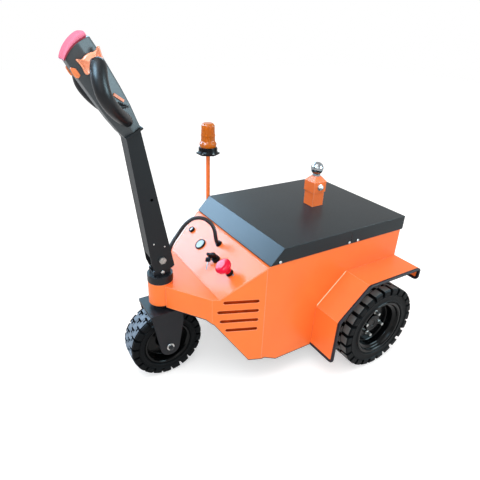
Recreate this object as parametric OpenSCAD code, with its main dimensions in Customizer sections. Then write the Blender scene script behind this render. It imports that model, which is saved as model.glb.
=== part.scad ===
// Pedestrian electric tow tug: three wheels, a steered front fork with a folding tiller,
// a folded sheet-metal body and a tow ball on a square post through the lid.
// Millimetres. +X is forward, +Y the tug's left, +Z up, the floor is at z = 0.

/* [Layout] */
// Place of the rear axle along X, with the origin under the middle of the whole tug
rear_axle_x = -372; // [-420:1:-330]
// From the rear axle to the steering axis
wheelbase = 722; // [700:1:760]
// Thickness of the body's sheet metal
sheet = 3; // [2:0.5:4]
// Gap left between parts that are bolted together
seat_gap = 0.3; // [0.1:0.1:0.5]
// Running clearance on a radius
run_gap = 0.05; // [0.02:0.01:0.09]

/* [Body] */
// Half of the body's width
body_half_w = 259; // [240:1:275]
// From the rear axle back to the rear panel
body_back = 177; // [175:1:200]
// From the rear axle to the crease above the control panel
crease_x = 453; // [440:1:465]
// Height of that crease
crease_z = 492; // [480:1:500]
// Underside of the body
floor_z = 84; // [75:1:95]
// Top edge of the body's walls, under the lid
wall_top_z = 522; // [515:1:530]
// From the lower edge of the control panel to the steering axis
panel_low_run = 125; // [115:1:140]
// Top of the nose
nose_top_z = 381; // [370:1:385]
// Underside of the nose
nose_low_z = 293; // [290:1:300]
// From the bend between vent plate and nose to the steering axis
nose_bend_run = 104; // [90:1:112]
// Half width of the nose at that bend
nose_bend_y = 191; // [180:1:200]
// Height of a vent slot
slot_h = 13; // [8:0.5:14]
// Spacing of the vent slots
slot_pitch = 38; // [30:1:42]
// Height of the top vent slot
slot_top_z = 367; // [360:1:375]

/* [Lid] */
// Top of the lid
lid_z = 552; // [545:1:565]
// Lower edge of the lid's skirt
skirt_z = 498; // [494:1:505]
// From the rear axle back to the lid's rear edge
lid_back = 185; // [183:1:200]
// From the rear axle to the top of the lid's front slope
slope_top_x = 394; // [380:1:405]
// From the rear axle to the foot of that slope
slope_low_x = 446; // [440:1:450]
// Width of the seam in the skirt
seam_w = 1.5; // [1:0.5:3]

/* [Fenders] */
// Top of the fenders
fender_z = 382; // [370:1:395]
// From the centre plane to the fenders' outer edge
fender_out = 382; // [365:1:385]
// From the rear axle to the front of a fender
fender_front_x = 222; // [215:1:235]
// Lower edge of the front of a fender
fender_low_z = 88; // [80:1:110]
// Thickness of a fender
fender_t = 4; // [3:0.5:6]
// Depth of the turned-down rear edge
fender_drop = 48; // [30:1:60]
// Thickness of the rubber edge trim round the sheet
trim_t = 4; // [3:0.5:6]
// How far the trim reaches in over the sheet
trim_in = 9; // [6:0.5:12]
// Radius of the fenders' free corners
corner_r = 15; // [13:1:25]

/* [Rear wheels] */
// Radius over the tread lugs
rear_r = 171; // [160:1:180]
// Width of a rear tyre
rear_w = 88; // [70:1:92]
// From the centre plane to a rear tyre's outer face
rear_out = 394; // [388:1:405]
// Radius of the rim's flange
rear_rim_r = 113; // [105:1:118]
// Radius of the wheel stud circle
stud_circle_r = 46; // [44:1:50]
// Radius of a wheel stud
stud_r = 6; // [4:0.5:8]
// Lugs round a rear tyre
rear_pitches = 24; // [20:1:28]
// Half width of the rib between the rear lugs
rear_rib = 9.5; // [6:0.5:14]
// Width of a groove between lugs
groove_w = 9.5; // [6:0.5:11]
// Depth of a groove between lugs
groove_d = 10; // [6:0.5:12]

/* [Front wheel and fork] */
// Radius over the tread lugs
front_r = 136; // [125:1:137]
// Width of the front tyre
front_w = 98; // [80:1:100]
// Radius of the rim's flange
front_rim_r = 88; // [70:1:92]
// Half width over the fork's side plates
fork_half_w = 66; // [62:1:72]
// Thickness of the fork's side plates
fork_t = 9; // [6:0.5:10]
// Top of the fork's crown
crown_z = 287; // [284:1:288]
// Thickness of the crown
crown_t = 10; // [8:0.5:12]
// From the steering axis forward to the crown's front edge
crown_front = 63; // [55:1:70]
// Radius of the front axle
axle_r = 8; // [6:0.5:10]
// Lugs round the front tyre
front_pitches = 26; // [20:1:28]
// Half width of the band between the front shoulder lugs
front_rib = 29.5; // [20:0.5:34]

/* [Steering head] */
// Outer radius of the steering tube
tube_r = 43.5; // [40:0.5:48]
// Lower end of the steering tube
tube_low_z = 303; // [300:1:310]
// Upper end of the steering tube
tube_top_z = 389; // [385:1:395]
// Radius of the steering shaft
shaft_r = 25; // [20:0.5:28]
// Radius of the turntable disc
disc_r = 44; // [40:0.5:48]
// Thickness of the turntable disc
disc_t = 28; // [22:1:32]

/* [Tiller] */
// Height of the tiller's pivot
pivot_z = 479; // [474:1:490]
// Radius of the pivot bolt
pivot_r = 8; // [6:0.5:10]
// Lean of the tiller arm from upright, in degrees
arm_lean = 8.6; // [5:0.1:12]
// From the pivot to the arm's top plate
arm_len = 424; // [380:1:460]
// Width of the arm
arm_w = 60; // [56:1:64]
// Depth of the arm at the pivot
arm_depth_low = 76; // [70:1:80]
// Depth of the arm at its top
arm_depth_top = 45; // [40:1:50]
// Thickness of the arm's folded sheet
arm_t = 3; // [2:0.5:4]
// Lean of the head from upright, in degrees
head_lean = 28.3; // [20:0.1:35]
// Length of the head's housing along its own axis
head_len = 262; // [250:1:270]

/* [Tow hitch and beacon] */
// From the rear axle to the middle of the hitch post
hitch_x = 57; // [45:1:60]
// Width of the square post
post_w = 54; // [50:1:58]
// Width of the sleeve over the post
sleeve_w = 60; // [60:1:70]
// Lower edge of the sleeve
sleeve_low_z = 609; // [590:1:620]
// Upper edge of the sleeve's straight walls
sleeve_top_z = 652; // [640:1:660]
// Radius of the tow ball
ball_r = 25; // [24:0.5:26]
// Height of the tow ball's middle
ball_z = 701; // [697:1:705]
// Radius of the ball's neck
neck_r = 11; // [9:0.5:14]
// From the rear axle to the beacon's pole
pole_x = 392; // [380:1:400]
// Top of the pole
pole_top_z = 726; // [700:1:740]
// Radius of the pole
pole_r = 8; // [6:0.5:10]
// Radius of the beacon's drum
beacon_r = 36; // [34:0.5:40]

/* [Hidden] */
$fn = 64;
eps = 0.01;

orange = "#F8803F";
dark = "#3A3F44";
black = "#222428";
steel = "#B9BEC2";

// Derived places
panel_low_x = wheelbase - panel_low_run;
nose_bend_x = wheelbase - nose_bend_run;
fork_inner = fork_half_w - fork_t;
disc_low_z = tube_top_z + seat_gap;
disc_top_z = disc_low_z + disc_t;
rear_mid_y = rear_out - rear_w / 2;
pivot_in = arm_w / 2 - arm_t;
lid_half_w = body_half_w + seat_gap + sheet;
panel_tilt = atan2(crease_z - nose_top_z, panel_low_x - crease_x);
vent_len = norm([nose_bend_x - crease_x, body_half_w - nose_bend_y]);
vent_turn = atan2(body_half_w - nose_bend_y, nose_bend_x - crease_x);

// Frame that starts at the rear axle, over the floor
module tug() translate([rear_axle_x, 0, 0]) children();

// Shape drawn in the side view, as x and z, and made wide along Y about the centre plane
module side_plate(w) translate([0, w / 2, 0]) rotate([90, 0, 0]) linear_extrude(w) children();

// The children and their mirror image on the other side
module both_sides() { children(); mirror([0, 1, 0]) children(); }

// Body

// The body from above, in from its outer faces by inset
module body_plan(inset) offset(delta = -inset) polygon([
    [-body_back, -body_half_w], [crease_x, -body_half_w], [nose_bend_x, -nose_bend_y],
    [wheelbase, -tube_r], [wheelbase, tube_r],
    [nose_bend_x, nose_bend_y], [crease_x, body_half_w], [-body_back, body_half_w]]);

// Lower edge of the body in the side view, from back to front, as x and z
bow_low = [[-body_back, floor_z], [crease_x - 66, floor_z], [crease_x - 14, floor_z + 28],
    [crease_x + 44, floor_z + 28], [nose_bend_x - 6, nose_low_z - 14], [nose_bend_x + 14, nose_low_z],
    [wheelbase, nose_low_z]];
// Upper edge, from front to back
body_high = [[wheelbase, nose_top_z], [panel_low_x, nose_top_z], [crease_x, crease_z],
    [slope_low_x - 5, crease_z + 3], [slope_low_x - 5, skirt_z - 1],
    [slope_low_x - 30, wall_top_z], [-body_back, wall_top_z]];

module body_profile(inset) offset(delta = -inset) polygon(concat(bow_low, body_high));

module body_block(inset) intersection() {
    translate([0, 0, -1]) linear_extrude(lid_z) body_plan(inset);
    side_plate(3 * body_half_w) body_profile(inset);
}

// The folded sheet round the whole body, open at the top under the lid
module body_sheet() difference() {
    body_block(0);
    body_block(sheet);
    side_plate(2 * (body_half_w - sheet)) polygon([[sheet - body_back, skirt_z - 30],
        [slope_low_x - 12, skirt_z - 30], [slope_low_x - 12, skirt_z - 8],
        [slope_low_x - 32, lid_z], [sheet - body_back, lid_z]]);
}

// The part of the side view that the floor pan takes up
module pan_region() difference() {
    translate([-body_back, 0]) square([wheelbase + body_back, nose_low_z + sheet]);
    translate([0, sheet]) polygon(concat(bow_low, [[wheelbase, lid_z], [-body_back, lid_z]]));
}

// The part of the side view that the control panel takes up
module panel_region() polygon([[crease_x, crease_z + eps], [panel_low_x, nose_top_z + eps],
    [panel_low_x - sheet * tan(panel_tilt / 2), nose_top_z - sheet],
    [crease_x - sheet * sin(panel_tilt), crease_z - sheet * cos(panel_tilt)]]);

module axle_notch() side_plate(3 * body_half_w) {
    translate([0, rear_r]) circle(r = 46);
    translate([-46, floor_z - 10]) square([92, rear_r - floor_z + 10]);
}

module body_tub() color(orange) tug() difference() {
    intersection() {
        body_sheet();
        translate([-body_back, -body_half_w, 0]) cube([body_back + crease_x, 2 * body_half_w, lid_z]);
    }
    side_plate(3 * body_half_w) pan_region();
    side_plate(3 * body_half_w) panel_region();
    axle_notch();
}

// Vent slots, from the top down: where each begins and ends, as shares of the plate's length
slots = [[0.15, 0.76], [0.15, 0.87], [0.15, 0.82], [0.16, 0.71]];

module vent_slots() translate([crease_x, body_half_w, 0]) rotate([0, 0, -vent_turn])
    for (i = [0 : len(slots) - 1]) translate([0, 2 * sheet, slot_top_z - i * slot_pitch]) rotate([90, 0, 0])
        linear_extrude(4 * sheet) {
            translate([slots[i][0] * vent_len, -slot_h / 2]) square([(slots[i][1] - slots[i][0]) * vent_len, slot_h]);
            for (x = slots[i]) translate([x * vent_len, 0]) circle(d = slot_h, $fn = 24);
        }

module nose_shell() color(orange) tug() difference() {
    intersection() {
        body_sheet();
        translate([crease_x, -body_half_w, 0]) cube([wheelbase, 2 * body_half_w, lid_z]);
    }
    side_plate(3 * body_half_w) pan_region();
    side_plate(3 * body_half_w) panel_region();
    translate([wheelbase, 0, 0]) cylinder(r = tube_r + seat_gap, h = lid_z);
    both_sides() vent_slots();
}

module control_panel() color(orange) tug() intersection() {
    side_plate(3 * body_half_w) panel_region();
    linear_extrude(lid_z) body_plan(0);
}

module belly_pan() color(dark) tug() difference() {
    intersection() {
        side_plate(3 * body_half_w) intersection() {
            pan_region();
            body_profile(0);
        }
        linear_extrude(lid_z) body_plan(0);
    }
    translate([wheelbase, 0, 0]) cylinder(r = tube_r + seat_gap, h = lid_z);
}

// Two box rails under the battery, from the rear panel to the sloping bow, with cross-members
rail_y = 150;
rail_w = 40;
rail_h = 50;
rail_low_z = floor_z + sheet;
rail_top_z = rail_low_z + rail_h;
// Underside and top of the beam that carries the hitch post
beam_low_z = 245;
beam_top_z = 290;
module chassis_rails() color(dark) tug() {
    both_sides() {
        translate([seat_gap + sheet - body_back, rail_y - rail_w / 2, rail_low_z])
            cube([crease_x + body_back - 80, rail_w, rail_h]);
        translate([hitch_x + 10, rail_y - rail_w / 2, rail_top_z - eps]) cube([30, rail_w, beam_low_z - rail_top_z + 2 * eps]);
    }
    for (x = [-130, 190, 330]) translate([x, rail_w / 2 - rail_y - eps, rail_low_z + 5])
        cube([40, 2 * rail_y - rail_w + 2 * eps, rail_h - 10]);
    translate([hitch_x - 30, -rail_y - rail_w / 2, beam_low_z]) cube([70, 2 * rail_y + rail_w, beam_top_z - beam_low_z]);
}

// Traction battery: where its rear face stands, and its size
battery_back_x = 186;
battery = [230, 380, 220];
module battery_block() color(dark) tug() translate([battery_back_x, -battery[1] / 2, rail_top_z + seat_gap])
    cube(battery);

module steering_tube() color(orange) tug() translate([wheelbase, 0, tube_low_z]) difference() {
    cylinder(r = tube_r, h = tube_top_z - tube_low_z);
    translate([0, 0, -1]) cylinder(r = shaft_r + run_gap, h = tube_top_z - tube_low_z + 2);
}

// Lid

module lid_profile(inset) offset(delta = -inset) polygon([[-lid_back, skirt_z - inset],
    [slope_low_x, skirt_z - inset], [slope_top_x, lid_z], [-lid_back, lid_z]]);

module lid() color(dark) tug() difference() {
    side_plate(2 * lid_half_w) lid_profile(0);
    side_plate(2 * (lid_half_w - sheet)) offset(delta = -sheet) polygon([[-lid_back, skirt_z - 4 * sheet],
        [slope_low_x + 4 * sheet * (slope_low_x - slope_top_x) / (lid_z - skirt_z), skirt_z - 4 * sheet],
        [slope_top_x, lid_z], [-lid_back, lid_z]]);
    both_sides() translate([94, lid_half_w - sheet - 1, skirt_z - 1]) cube([seam_w, sheet + 2, lid_z - skirt_z - 6]);
    translate([hitch_x, 0, skirt_z]) linear_extrude(lid_z) square(post_w + 2 * seat_gap, center = true);
}

// Fenders

// A fender in the side view, as x and z: the two bends of its top and where its front ends
bend_top = [88, fender_z];
bend_low = [217, fender_z - 117];
front_slope = (fender_front_x - bend_low[0]) / (bend_low[1] - fender_low_z);
below = 50;
fender_side = [[-body_back, fender_low_z - below], [-body_back, fender_z], bend_top, bend_low,
    [fender_front_x + below * front_slope, fender_low_z - below]];

// The fender's sheet in the side view, grown by g on both faces
module fender_band(g) difference() {
    offset(delta = g) polygon(fender_side);
    offset(delta = -fender_t - g) polygon(fender_side);
}

function arc(c, r, from, to, n) = [for (i = [0 : n]) let (a = from + (to - from) * i / n) c + r * [cos(a), sin(a)]];

// How far a fender reaches out and down, seen from the front, grown by g: a rounded free corner
module free_corner(low, g) polygon(concat([[body_half_w, lid_z], [body_half_w, low - g]],
    arc([fender_out - corner_r, low + corner_r], corner_r + g, -90, 0, 6), [[fender_out + g, lid_z]]));

module fender_reach(g) {
    translate([-body_back - below, 0, 0]) rotate([90, 0, 90]) linear_extrude(body_back + below + 1)
        free_corner(fender_z - fender_drop, g);
    rotate([90, 0, 90]) linear_extrude(fender_front_x + below) free_corner(fender_low_z, g);
}

module fender_layer(g) intersection() {
    translate([0, fender_out + below, 0]) rotate([90, 0, 0])
        linear_extrude(fender_out + below - body_half_w - seat_gap) fender_band(g);
    fender_reach(g);
}

module fenders() color(orange) tug() both_sides() fender_layer(0);

// Rubber that laps both faces of the sheet along its whole free edge
module fender_trims() color(black) tug() both_sides() difference() {
    fender_layer(trim_t);
    fender_layer(seat_gap);
    fender_reach(-trim_in);
}

// Hitch

module hitch_post() color(orange) tug() translate([hitch_x, 0, 0]) difference() {
    translate([0, 0, beam_top_z]) linear_extrude(sleeve_top_z - beam_top_z - 2) square(post_w, center = true);
    translate([0, 0, beam_top_z - 1]) linear_extrude(lid_z) square(post_w - 10, center = true);
    translate([0, post_w, bolt_z]) rotate([90, 0, 0]) cylinder(r = bolt_r + run_gap, h = 2 * post_w);
}

bolt_z = 631;
bolt_r = 6;
cap_h = 20;
cap_half_w = 13;
module sleeve_outline() polygon([[-sleeve_w / 2, sleeve_low_z], [sleeve_w / 2, sleeve_low_z],
    [sleeve_w / 2, sleeve_top_z], [cap_half_w, sleeve_top_z + cap_h],
    [-cap_half_w, sleeve_top_z + cap_h], [-sleeve_w / 2, sleeve_top_z]]);

module hitch_sleeve() color(orange) tug() translate([hitch_x, 0, 0]) difference() {
    intersection() {
        side_plate(sleeve_w) sleeve_outline();
        rotate([0, 0, 90]) side_plate(sleeve_w) sleeve_outline();
    }
    translate([0, 0, sleeve_low_z - 1]) linear_extrude(sleeve_top_z - sleeve_low_z)
        square(post_w + 2 * seat_gap, center = true);
    translate([0, sleeve_w, bolt_z]) rotate([90, 0, 0]) cylinder(r = bolt_r + run_gap, h = 2 * sleeve_w);
}

module tow_ball() color(steel) tug() translate([hitch_x, 0, 0]) {
    translate([0, 0, sleeve_top_z + cap_h]) {
        cylinder(r = neck_r, h = ball_z - sleeve_top_z - cap_h);
        cylinder(r = neck_r + 5, h = 3);
    }
    translate([0, 0, ball_z]) sphere(r = ball_r);
}

module hitch_bolt() color(steel) tug() translate([hitch_x, 0, bolt_z]) rotate([90, 0, 0]) {
    translate([0, 0, -sleeve_w / 2 - 8]) cylinder(r = bolt_r, h = sleeve_w + 20);
    for (z = [-sleeve_w / 2 - seat_gap - 8, sleeve_w / 2 + seat_gap]) translate([0, 0, z])
        cylinder(r = 11, h = 8, $fn = 6);
}

// Beacon

pole_y = -(body_half_w + sheet + 16);
beacon_base_h = 28;
beacon_foot_h = 6;
lens_h = 92;
pole_low_z = 380;
bracket_h = 24;
module beacon_pole() color(orange) tug() {
    translate([pole_x, pole_y, pole_low_z]) cylinder(r = pole_r, h = pole_top_z - pole_low_z, $fn = 32);
    for (z = [pole_low_z + 15, pole_low_z + 75]) translate([pole_x - pole_r - 2, pole_y - pole_r / 2, z])
        cube([2 * pole_r + 4, -body_half_w - seat_gap - pole_y + pole_r / 2, bracket_h]);
}

// Six-cornered foot under a round drum that flares out to it
module beacon_base() color(black) tug() translate([pole_x, pole_y, pole_top_z]) {
    rotate([0, 0, 33]) cylinder(r = beacon_r + 12, h = beacon_foot_h, $fn = 6);
    rotate_extrude() polygon([[0, 1], [beacon_r + 4, 1], [beacon_r + 4, beacon_foot_h + 1],
        [beacon_r, beacon_foot_h + 8], [beacon_r - 1, beacon_base_h], [0, beacon_base_h]]);
}

module beacon_lens() color("#F08A10") tug() translate([pole_x, pole_y, pole_top_z + beacon_base_h])
    rotate_extrude() polygon([[0, 0], [beacon_r - 5, 0], [beacon_r - 2, 15], [beacon_r - 8, 22],
        [beacon_r - 10, lens_h - 6], [beacon_r - 15, lens_h], [0, lens_h]]);

// Controls on the panel, placed by how far they lie down the slope and across
module on_panel(down, across) tug() translate([crease_x, 0, crease_z])
    rotate([0, panel_tilt, 0]) translate([down, across, seat_gap]) children();

module charge_gauge() color(black) on_panel(89, -84) cylinder(r = 22, h = 6);

module key_switch() color(black) on_panel(91, 46) {
    cylinder(r = 13, h = 9);
    translate([-1.5, -4, 9 - eps]) cube([3, 8, 12]);
    translate([-2, -14, 20]) cube([4, 28, 26]);
}

module stop_button() color("#D6203C") on_panel(94, 146) rotate_extrude() polygon([[0, 0], [12, 0], [12, 14],
    [14, 17], [27, 37], [29, 43], [29, 48], [24, 55], [12, 59], [0, 59]]);

module charge_socket() color(steel) on_panel(69, 69 - body_half_w) cylinder(r = 12, h = 9);

// Cable from the gland on the panel to the grommet on the nose
gland_down = 42;
gland_y = -8;
grommet = [668, -70];
cable_r = 7;
gland_h = 9;
gland_r = cable_r + 6;
// A point over the panel, by how far down the slope, across and out it lies
function over_panel(down, across, out) = [crease_x + down * cos(panel_tilt) + out * sin(panel_tilt), across,
    crease_z - down * sin(panel_tilt) + out * cos(panel_tilt)];
// Cable route: x from the rear axle, y, z
cable_route = [over_panel(gland_down, gland_y, gland_h + 2 * seat_gap),
    over_panel(gland_down, gland_y, gland_h + 8), [499, -11, 496], [500, -13, 511], [502, -18, 527], [508, -27, 543],
    [518, -38, 554], [530, -48, 561], [544, -57, 563], [560, -67, 559], [574, -74, 549], [588, -80, 535],
    [602, -83, 517], [616, -84, 499], [632, -81, 483], [646, -77, 465], [656, -74, 445], [663, -72, 424],
    [667, -70.5, 406], [grommet[0], grommet[1], nose_top_z + gland_h + 8],
    [grommet[0], grommet[1], nose_top_z + gland_h + 2 * seat_gap]];

module cable_glands() color(black) {
    on_panel(gland_down, gland_y) cylinder(r1 = gland_r, r2 = gland_r - 3, h = gland_h);
    tug() translate([grommet[0], grommet[1], nose_top_z + seat_gap])
        cylinder(r1 = gland_r, r2 = gland_r - 3, h = gland_h);
}

function unit(v) = v / norm(v);
function tangent_at(p, i) = unit(p[min(i + 1, len(p) - 1)] - p[max(i - 1, 0)]);
function side_at(t) = unit(cross(t, abs(t[1]) < 0.8 ? [0, 1, 0] : [1, 0, 0]));
function ring(c, t, r, n) = let (a = side_at(t), b = cross(t, a))
    [for (k = [0 : n - 1]) c + r * (cos(360 * k / n) * a + sin(360 * k / n) * b)];
function tube_faces(rings, n) = concat(
    [[for (k = [0 : n - 1]) k]],
    [for (i = [0 : rings - 2]) for (k = [0 : n - 1]) let (j = (k + 1) % n)
        each [[i * n + k, (i + 1) * n + k, i * n + j], [i * n + j, (i + 1) * n + k, (i + 1) * n + j]]],
    [[for (k = [0 : n - 1]) rings * n - 1 - k]]);

// A round tube through the points p, with a radius for each point
module tube_through(p, radii, n) polyhedron(
    [for (i = [0 : len(p) - 1]) each ring(p[i], tangent_at(p, i), radii[i], n)], tube_faces(len(p), n));

module control_cable() color(black) tug()
    tube_through(cable_route, [for (i = cable_route) cable_r], 10);

// Drive

axle_tube_y = 268;
shaft_end_y = rear_mid_y - 24;
half_shaft_r = 15;
module transaxle() color(dark) tug() translate([0, 0, rear_r]) {
    rotate([90, 0, 0]) {
        translate([0, 0, -shaft_end_y]) cylinder(r = half_shaft_r, h = 2 * shaft_end_y);
        translate([0, 0, -axle_tube_y]) cylinder(r = 28, h = 2 * axle_tube_y);
        translate([0, 0, -70]) cylinder(r = 62, h = 140);
    }
    both_sides() translate([-30, rail_y - rail_w / 2, rail_top_z + seat_gap - rear_r])
        cube([60, rail_w, rear_r - rail_top_z - seat_gap]);
}

motor_len = 115;
module drive_motor() color(dark) tug() translate([62 + seat_gap, 0, rear_r]) rotate([0, 90, 0])
    cylinder(r = 52, h = motor_len);

// Rear wheels, drawn with the axle along Z and the outer face up

// One side of a tyre in section, from the rim's seat to the tread, as radius and width
function tyre_side(r, half, rim) = [[rim, half - 6], [rim + 4, half - 1], [r - 25, half],
    [r - 8, half - 1.5], [r - 3, half - 7], [r, half - 15]];

// Cut between two lugs: across the tread from the rib and down the side wall
module lug_groove(r, half, rib) translate([0, groove_w / 2, 0]) rotate([90, 0, 0]) linear_extrude(groove_w)
    polygon([[r - groove_d, rib], [r + 2, rib], [r + 2, half + 2], [r - 25, half + 2],
        [r - 25, half - 6], [r - groove_d, half - 10]]);

module tyre(r, w, rim, rib, pitches) difference() {
    rotate_extrude($fn = 96) polygon(concat(tyre_side(r, w / 2, rim),
        [for (i = [5 : -1 : 0]) let (p = tyre_side(r, w / 2, rim)[i]) [p[0], -p[1]]]));
    for (s = [0, 1], i = [0 : pitches - 1])
        mirror([0, 0, s]) rotate([0, 0, (i + s / 2) * 360 / pitches]) lug_groove(r, w / 2, rib);
}

// Left wheels face +Y; the right ones are their mirror image
module rear_place() tug() translate([0, rear_mid_y, rear_r]) rotate([-90, 0, 0]) children();

module rear_tyre() tyre(rear_r, rear_w, rear_rim_r + seat_gap, rear_rib, rear_pitches);

// The wheel's disc lies deep in the rim, with its outer face and its thickness; studs come through it
disc_face = -3;
disc_sheet = 8;
disc_bore_r = 34;
stud_tip = 20;
module at_studs() for (a = [73 : 90 : 343]) rotate([0, 0, a]) translate([stud_circle_r, 0, 0]) children();

module rear_rim() difference() {
    rear_rim_body();
    at_studs() translate([0, 0, disc_face - disc_sheet - 5]) cylinder(r = stud_r + seat_gap, h = disc_sheet + 10, $fn = 24);
}
flange_z = rear_w / 2 - 4;
module rear_rim_body() rotate_extrude($fn = 96) polygon([
    [rear_rim_r, flange_z], [rear_rim_r, -flange_z], [rear_rim_r - 12, -flange_z],
    [rear_rim_r - 18, 6 - flange_z], [rear_rim_r - 18, disc_face - disc_sheet],
    [disc_bore_r, disc_face - disc_sheet], [disc_bore_r, disc_face], [rear_rim_r - 30, disc_face],
    [rear_rim_r - 27, disc_face + 3], [rear_rim_r - 25, flange_z - 16], [rear_rim_r - 20, flange_z - 13],
    [rear_rim_r - 14, flange_z - 10], [rear_rim_r - 12, flange_z]]);

nut_h = 5;
hub_flange_t = 22;
hub_seat = disc_face - disc_sheet - seat_gap;
module rear_hub() {
    difference() {
        union() {
            translate([0, 0, axle_tube_y + 5 - rear_mid_y])
                cylinder(r = 26, h = rear_mid_y - axle_tube_y - 5 - 20);
            translate([0, 0, hub_seat - hub_flange_t]) cylinder(r = 60, h = hub_flange_t);
            translate([0, 0, hub_seat - 1]) cylinder(r = disc_bore_r - seat_gap, h = 20);
        }
        translate([0, 0, -rear_mid_y]) cylinder(r = half_shaft_r + run_gap, h = shaft_end_y + 1);
    }
    at_studs() {
        translate([0, 0, disc_face + seat_gap]) cylinder(r = 10, h = nut_h, $fn = 6);
        translate([0, 0, hub_seat - 1]) cylinder(r = stud_r, h = stud_tip - hub_seat + 1);
    }
}

module rear_tyre_left() color(black) rear_place() rear_tyre();
module rear_rim_left() color(black) rear_place() rear_rim();
module rear_hub_left() color(steel) rear_place() rear_hub();
module rear_tyre_right() mirror([0, 1, 0]) rear_tyre_left();
module rear_rim_right() mirror([0, 1, 0]) rear_rim_left();
module rear_hub_right() mirror([0, 1, 0]) rear_hub_left();

// Front wheel

module front_place() tug() translate([wheelbase, 0, front_r]) rotate([-90, 0, 0]) children();
module front_tyre() color(black) front_place()
    tyre(front_r, front_w, front_rim_r + seat_gap, front_rib, front_pitches);
module front_rim() color(black) front_place() rotate_extrude($fn = 96) polygon([
    [front_rim_r, 44], [front_rim_r, -44], [front_rim_r - 10, -44], [front_rim_r - 14, -36],
    [front_rim_r - 16, -8], [36, -8], [30, -52], [axle_r + run_gap, -52],
    [axle_r + run_gap, 52], [30, 52], [36, 8], [front_rim_r - 16, 8], [front_rim_r - 14, 36], [front_rim_r - 10, 44]]);

// Fork

// Angle at which the line from p touches the circle of radius r round c
function touch_angle(p, c, r, side) = let (d = p - c) atan2(d[1], d[0]) + side * acos(r / norm(d));

boss_r = 36;
fork_axle = [0, front_r];
module fork_plate() {
    front = [crown_front, crown_z];
    back = [-54, crown_z - 54];
    polygon(concat([front, [-42, crown_z], [-54, crown_z - 12], back],
        arc(fork_axle, boss_r, touch_angle(back, fork_axle, boss_r, 1),
            touch_angle(front, fork_axle, boss_r, -1) + 360, 18)));
}

module fork() color(black) tug() translate([wheelbase, 0, 0]) {
    difference() {
        union() {
            both_sides() translate([0, fork_half_w, 0]) rotate([90, 0, 0]) linear_extrude(fork_t) fork_plate();
            translate([-42, -fork_inner - fork_t / 2, crown_z - crown_t])
                cube([crown_front + 42, 2 * fork_inner + fork_t, crown_t]);
        }
        translate([0, 100, front_r]) rotate([90, 0, 0]) cylinder(r = axle_r + run_gap, h = 200);
    }
    rotate_extrude() polygon([[0, crown_z - crown_t / 2], [34, crown_z - crown_t / 2],
        [34, tube_low_z - run_gap], [shaft_r, tube_low_z - run_gap], [shaft_r, disc_low_z], [0, disc_low_z]]);
}

module front_axle() color(steel) tug() translate([wheelbase, 0, front_r]) rotate([90, 0, 0]) {
    translate([0, 0, -fork_half_w - 16]) cylinder(r = axle_r, h = 2 * fork_half_w + 32);
    for (s = [-1, 1]) {
        translate([0, 0, s * (fork_half_w + seat_gap + 1.5) - 1.5]) cylinder(r = 14, h = 3);
        translate([0, 0, s * (fork_half_w + seat_gap + 3 + 5) - 5]) cylinder(r = 12, h = 10, $fn = 6);
    }
}

// Turntable and clevis

ear_out = pivot_in - 2.5;
ear_t = 9;
// Half width of the clevis ears at their foot and round the pivot, and where the foot ends below the pivot
ear_foot = 30;
ear_neck = 16;
ear_drop = 43;
module turntable_disc() color(black) tug() translate([wheelbase, 0, disc_low_z]) {
    cylinder(r = disc_r, h = disc_t);
    for (x = [-21, 21], y = [-1, 1]) translate([x, y * (ear_out + 5.7), disc_t - 1])
        cylinder(r = 5, h = 5, $fn = 6);
}

module clevis() color(black) tug() translate([wheelbase, 0, 0]) difference() {
    union() {
        translate([-ear_foot, -ear_out, disc_top_z]) cube([2 * ear_foot, 2 * ear_out, 12]);
        both_sides() translate([0, ear_out, 0]) rotate([90, 0, 0]) linear_extrude(ear_t) {
            translate([-ear_neck, pivot_z - ear_drop]) square([2 * ear_neck, ear_drop]);
            polygon([[-ear_foot, disc_top_z + 1], [ear_foot, disc_top_z + 1], [ear_foot, pivot_z - ear_drop],
                [ear_neck, pivot_z - ear_drop + 5], [-ear_neck, pivot_z - ear_drop + 5],
                [-ear_foot, pivot_z - ear_drop]]);
            translate([0, pivot_z]) circle(r = ear_neck);
        }
    }
    translate([0, 100, pivot_z]) rotate([90, 0, 0]) cylinder(r = pivot_r + run_gap, h = 200);
}

// Tiller, drawn in a frame that starts at the pivot with Z along the arm

module arm_frame() tug() translate([wheelbase, 0, pivot_z]) rotate([0, arm_lean, 0]) children();

module arm_side() difference() {
    polygon([[arm_depth_low / 2, -8], [arm_depth_low / 2 - 6, -38], [-arm_depth_low / 2 + 12, -42], [-arm_depth_low / 2, -36],
        [-arm_depth_top / 2, arm_top_back], [arm_depth_top / 2, arm_top_front]]);
    circle(r = pivot_r + run_gap);
    translate([-10, 218]) circle(r = 5, $fn = 24);
}

// The arm's top is cut square to the head
top_cut = head_lean - arm_lean;
arm_top_back = arm_len + tan(top_cut) * arm_depth_top / 2;
arm_top_front = arm_len - tan(top_cut) * arm_depth_top / 2;

module tiller_arm() color(dark) {
    arm_frame() {
        both_sides() translate([0, arm_w / 2, 0]) rotate([90, 0, 0]) linear_extrude(arm_t) arm_side();
        difference() {
            side_plate(arm_w - 2 * arm_t + 2 * eps) difference() {
                polygon([[arm_depth_low / 2 - arm_t - 2, 22], [arm_depth_low / 2 - 2, 22],
                    [arm_depth_top / 2, arm_top_front], [arm_depth_top / 2 - arm_t, arm_top_front]]);
            }
        }
    }
    head_frame() translate([-33, -34, -6]) cube([58, 68, 6]);
}

// Cover that closes the back of the arm between its side plates
module arm_cover() color(black) arm_frame() side_plate(arm_w - 2 * arm_t - 2 * seat_gap)
    polygon([[-arm_depth_low / 2 + 8, 96], [-arm_depth_low / 2 + 5.5, 96],
        [-arm_depth_top / 2 + 3, arm_top_back - 12], [-arm_depth_top / 2 + 5.5, arm_top_back - 12]]);

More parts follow.
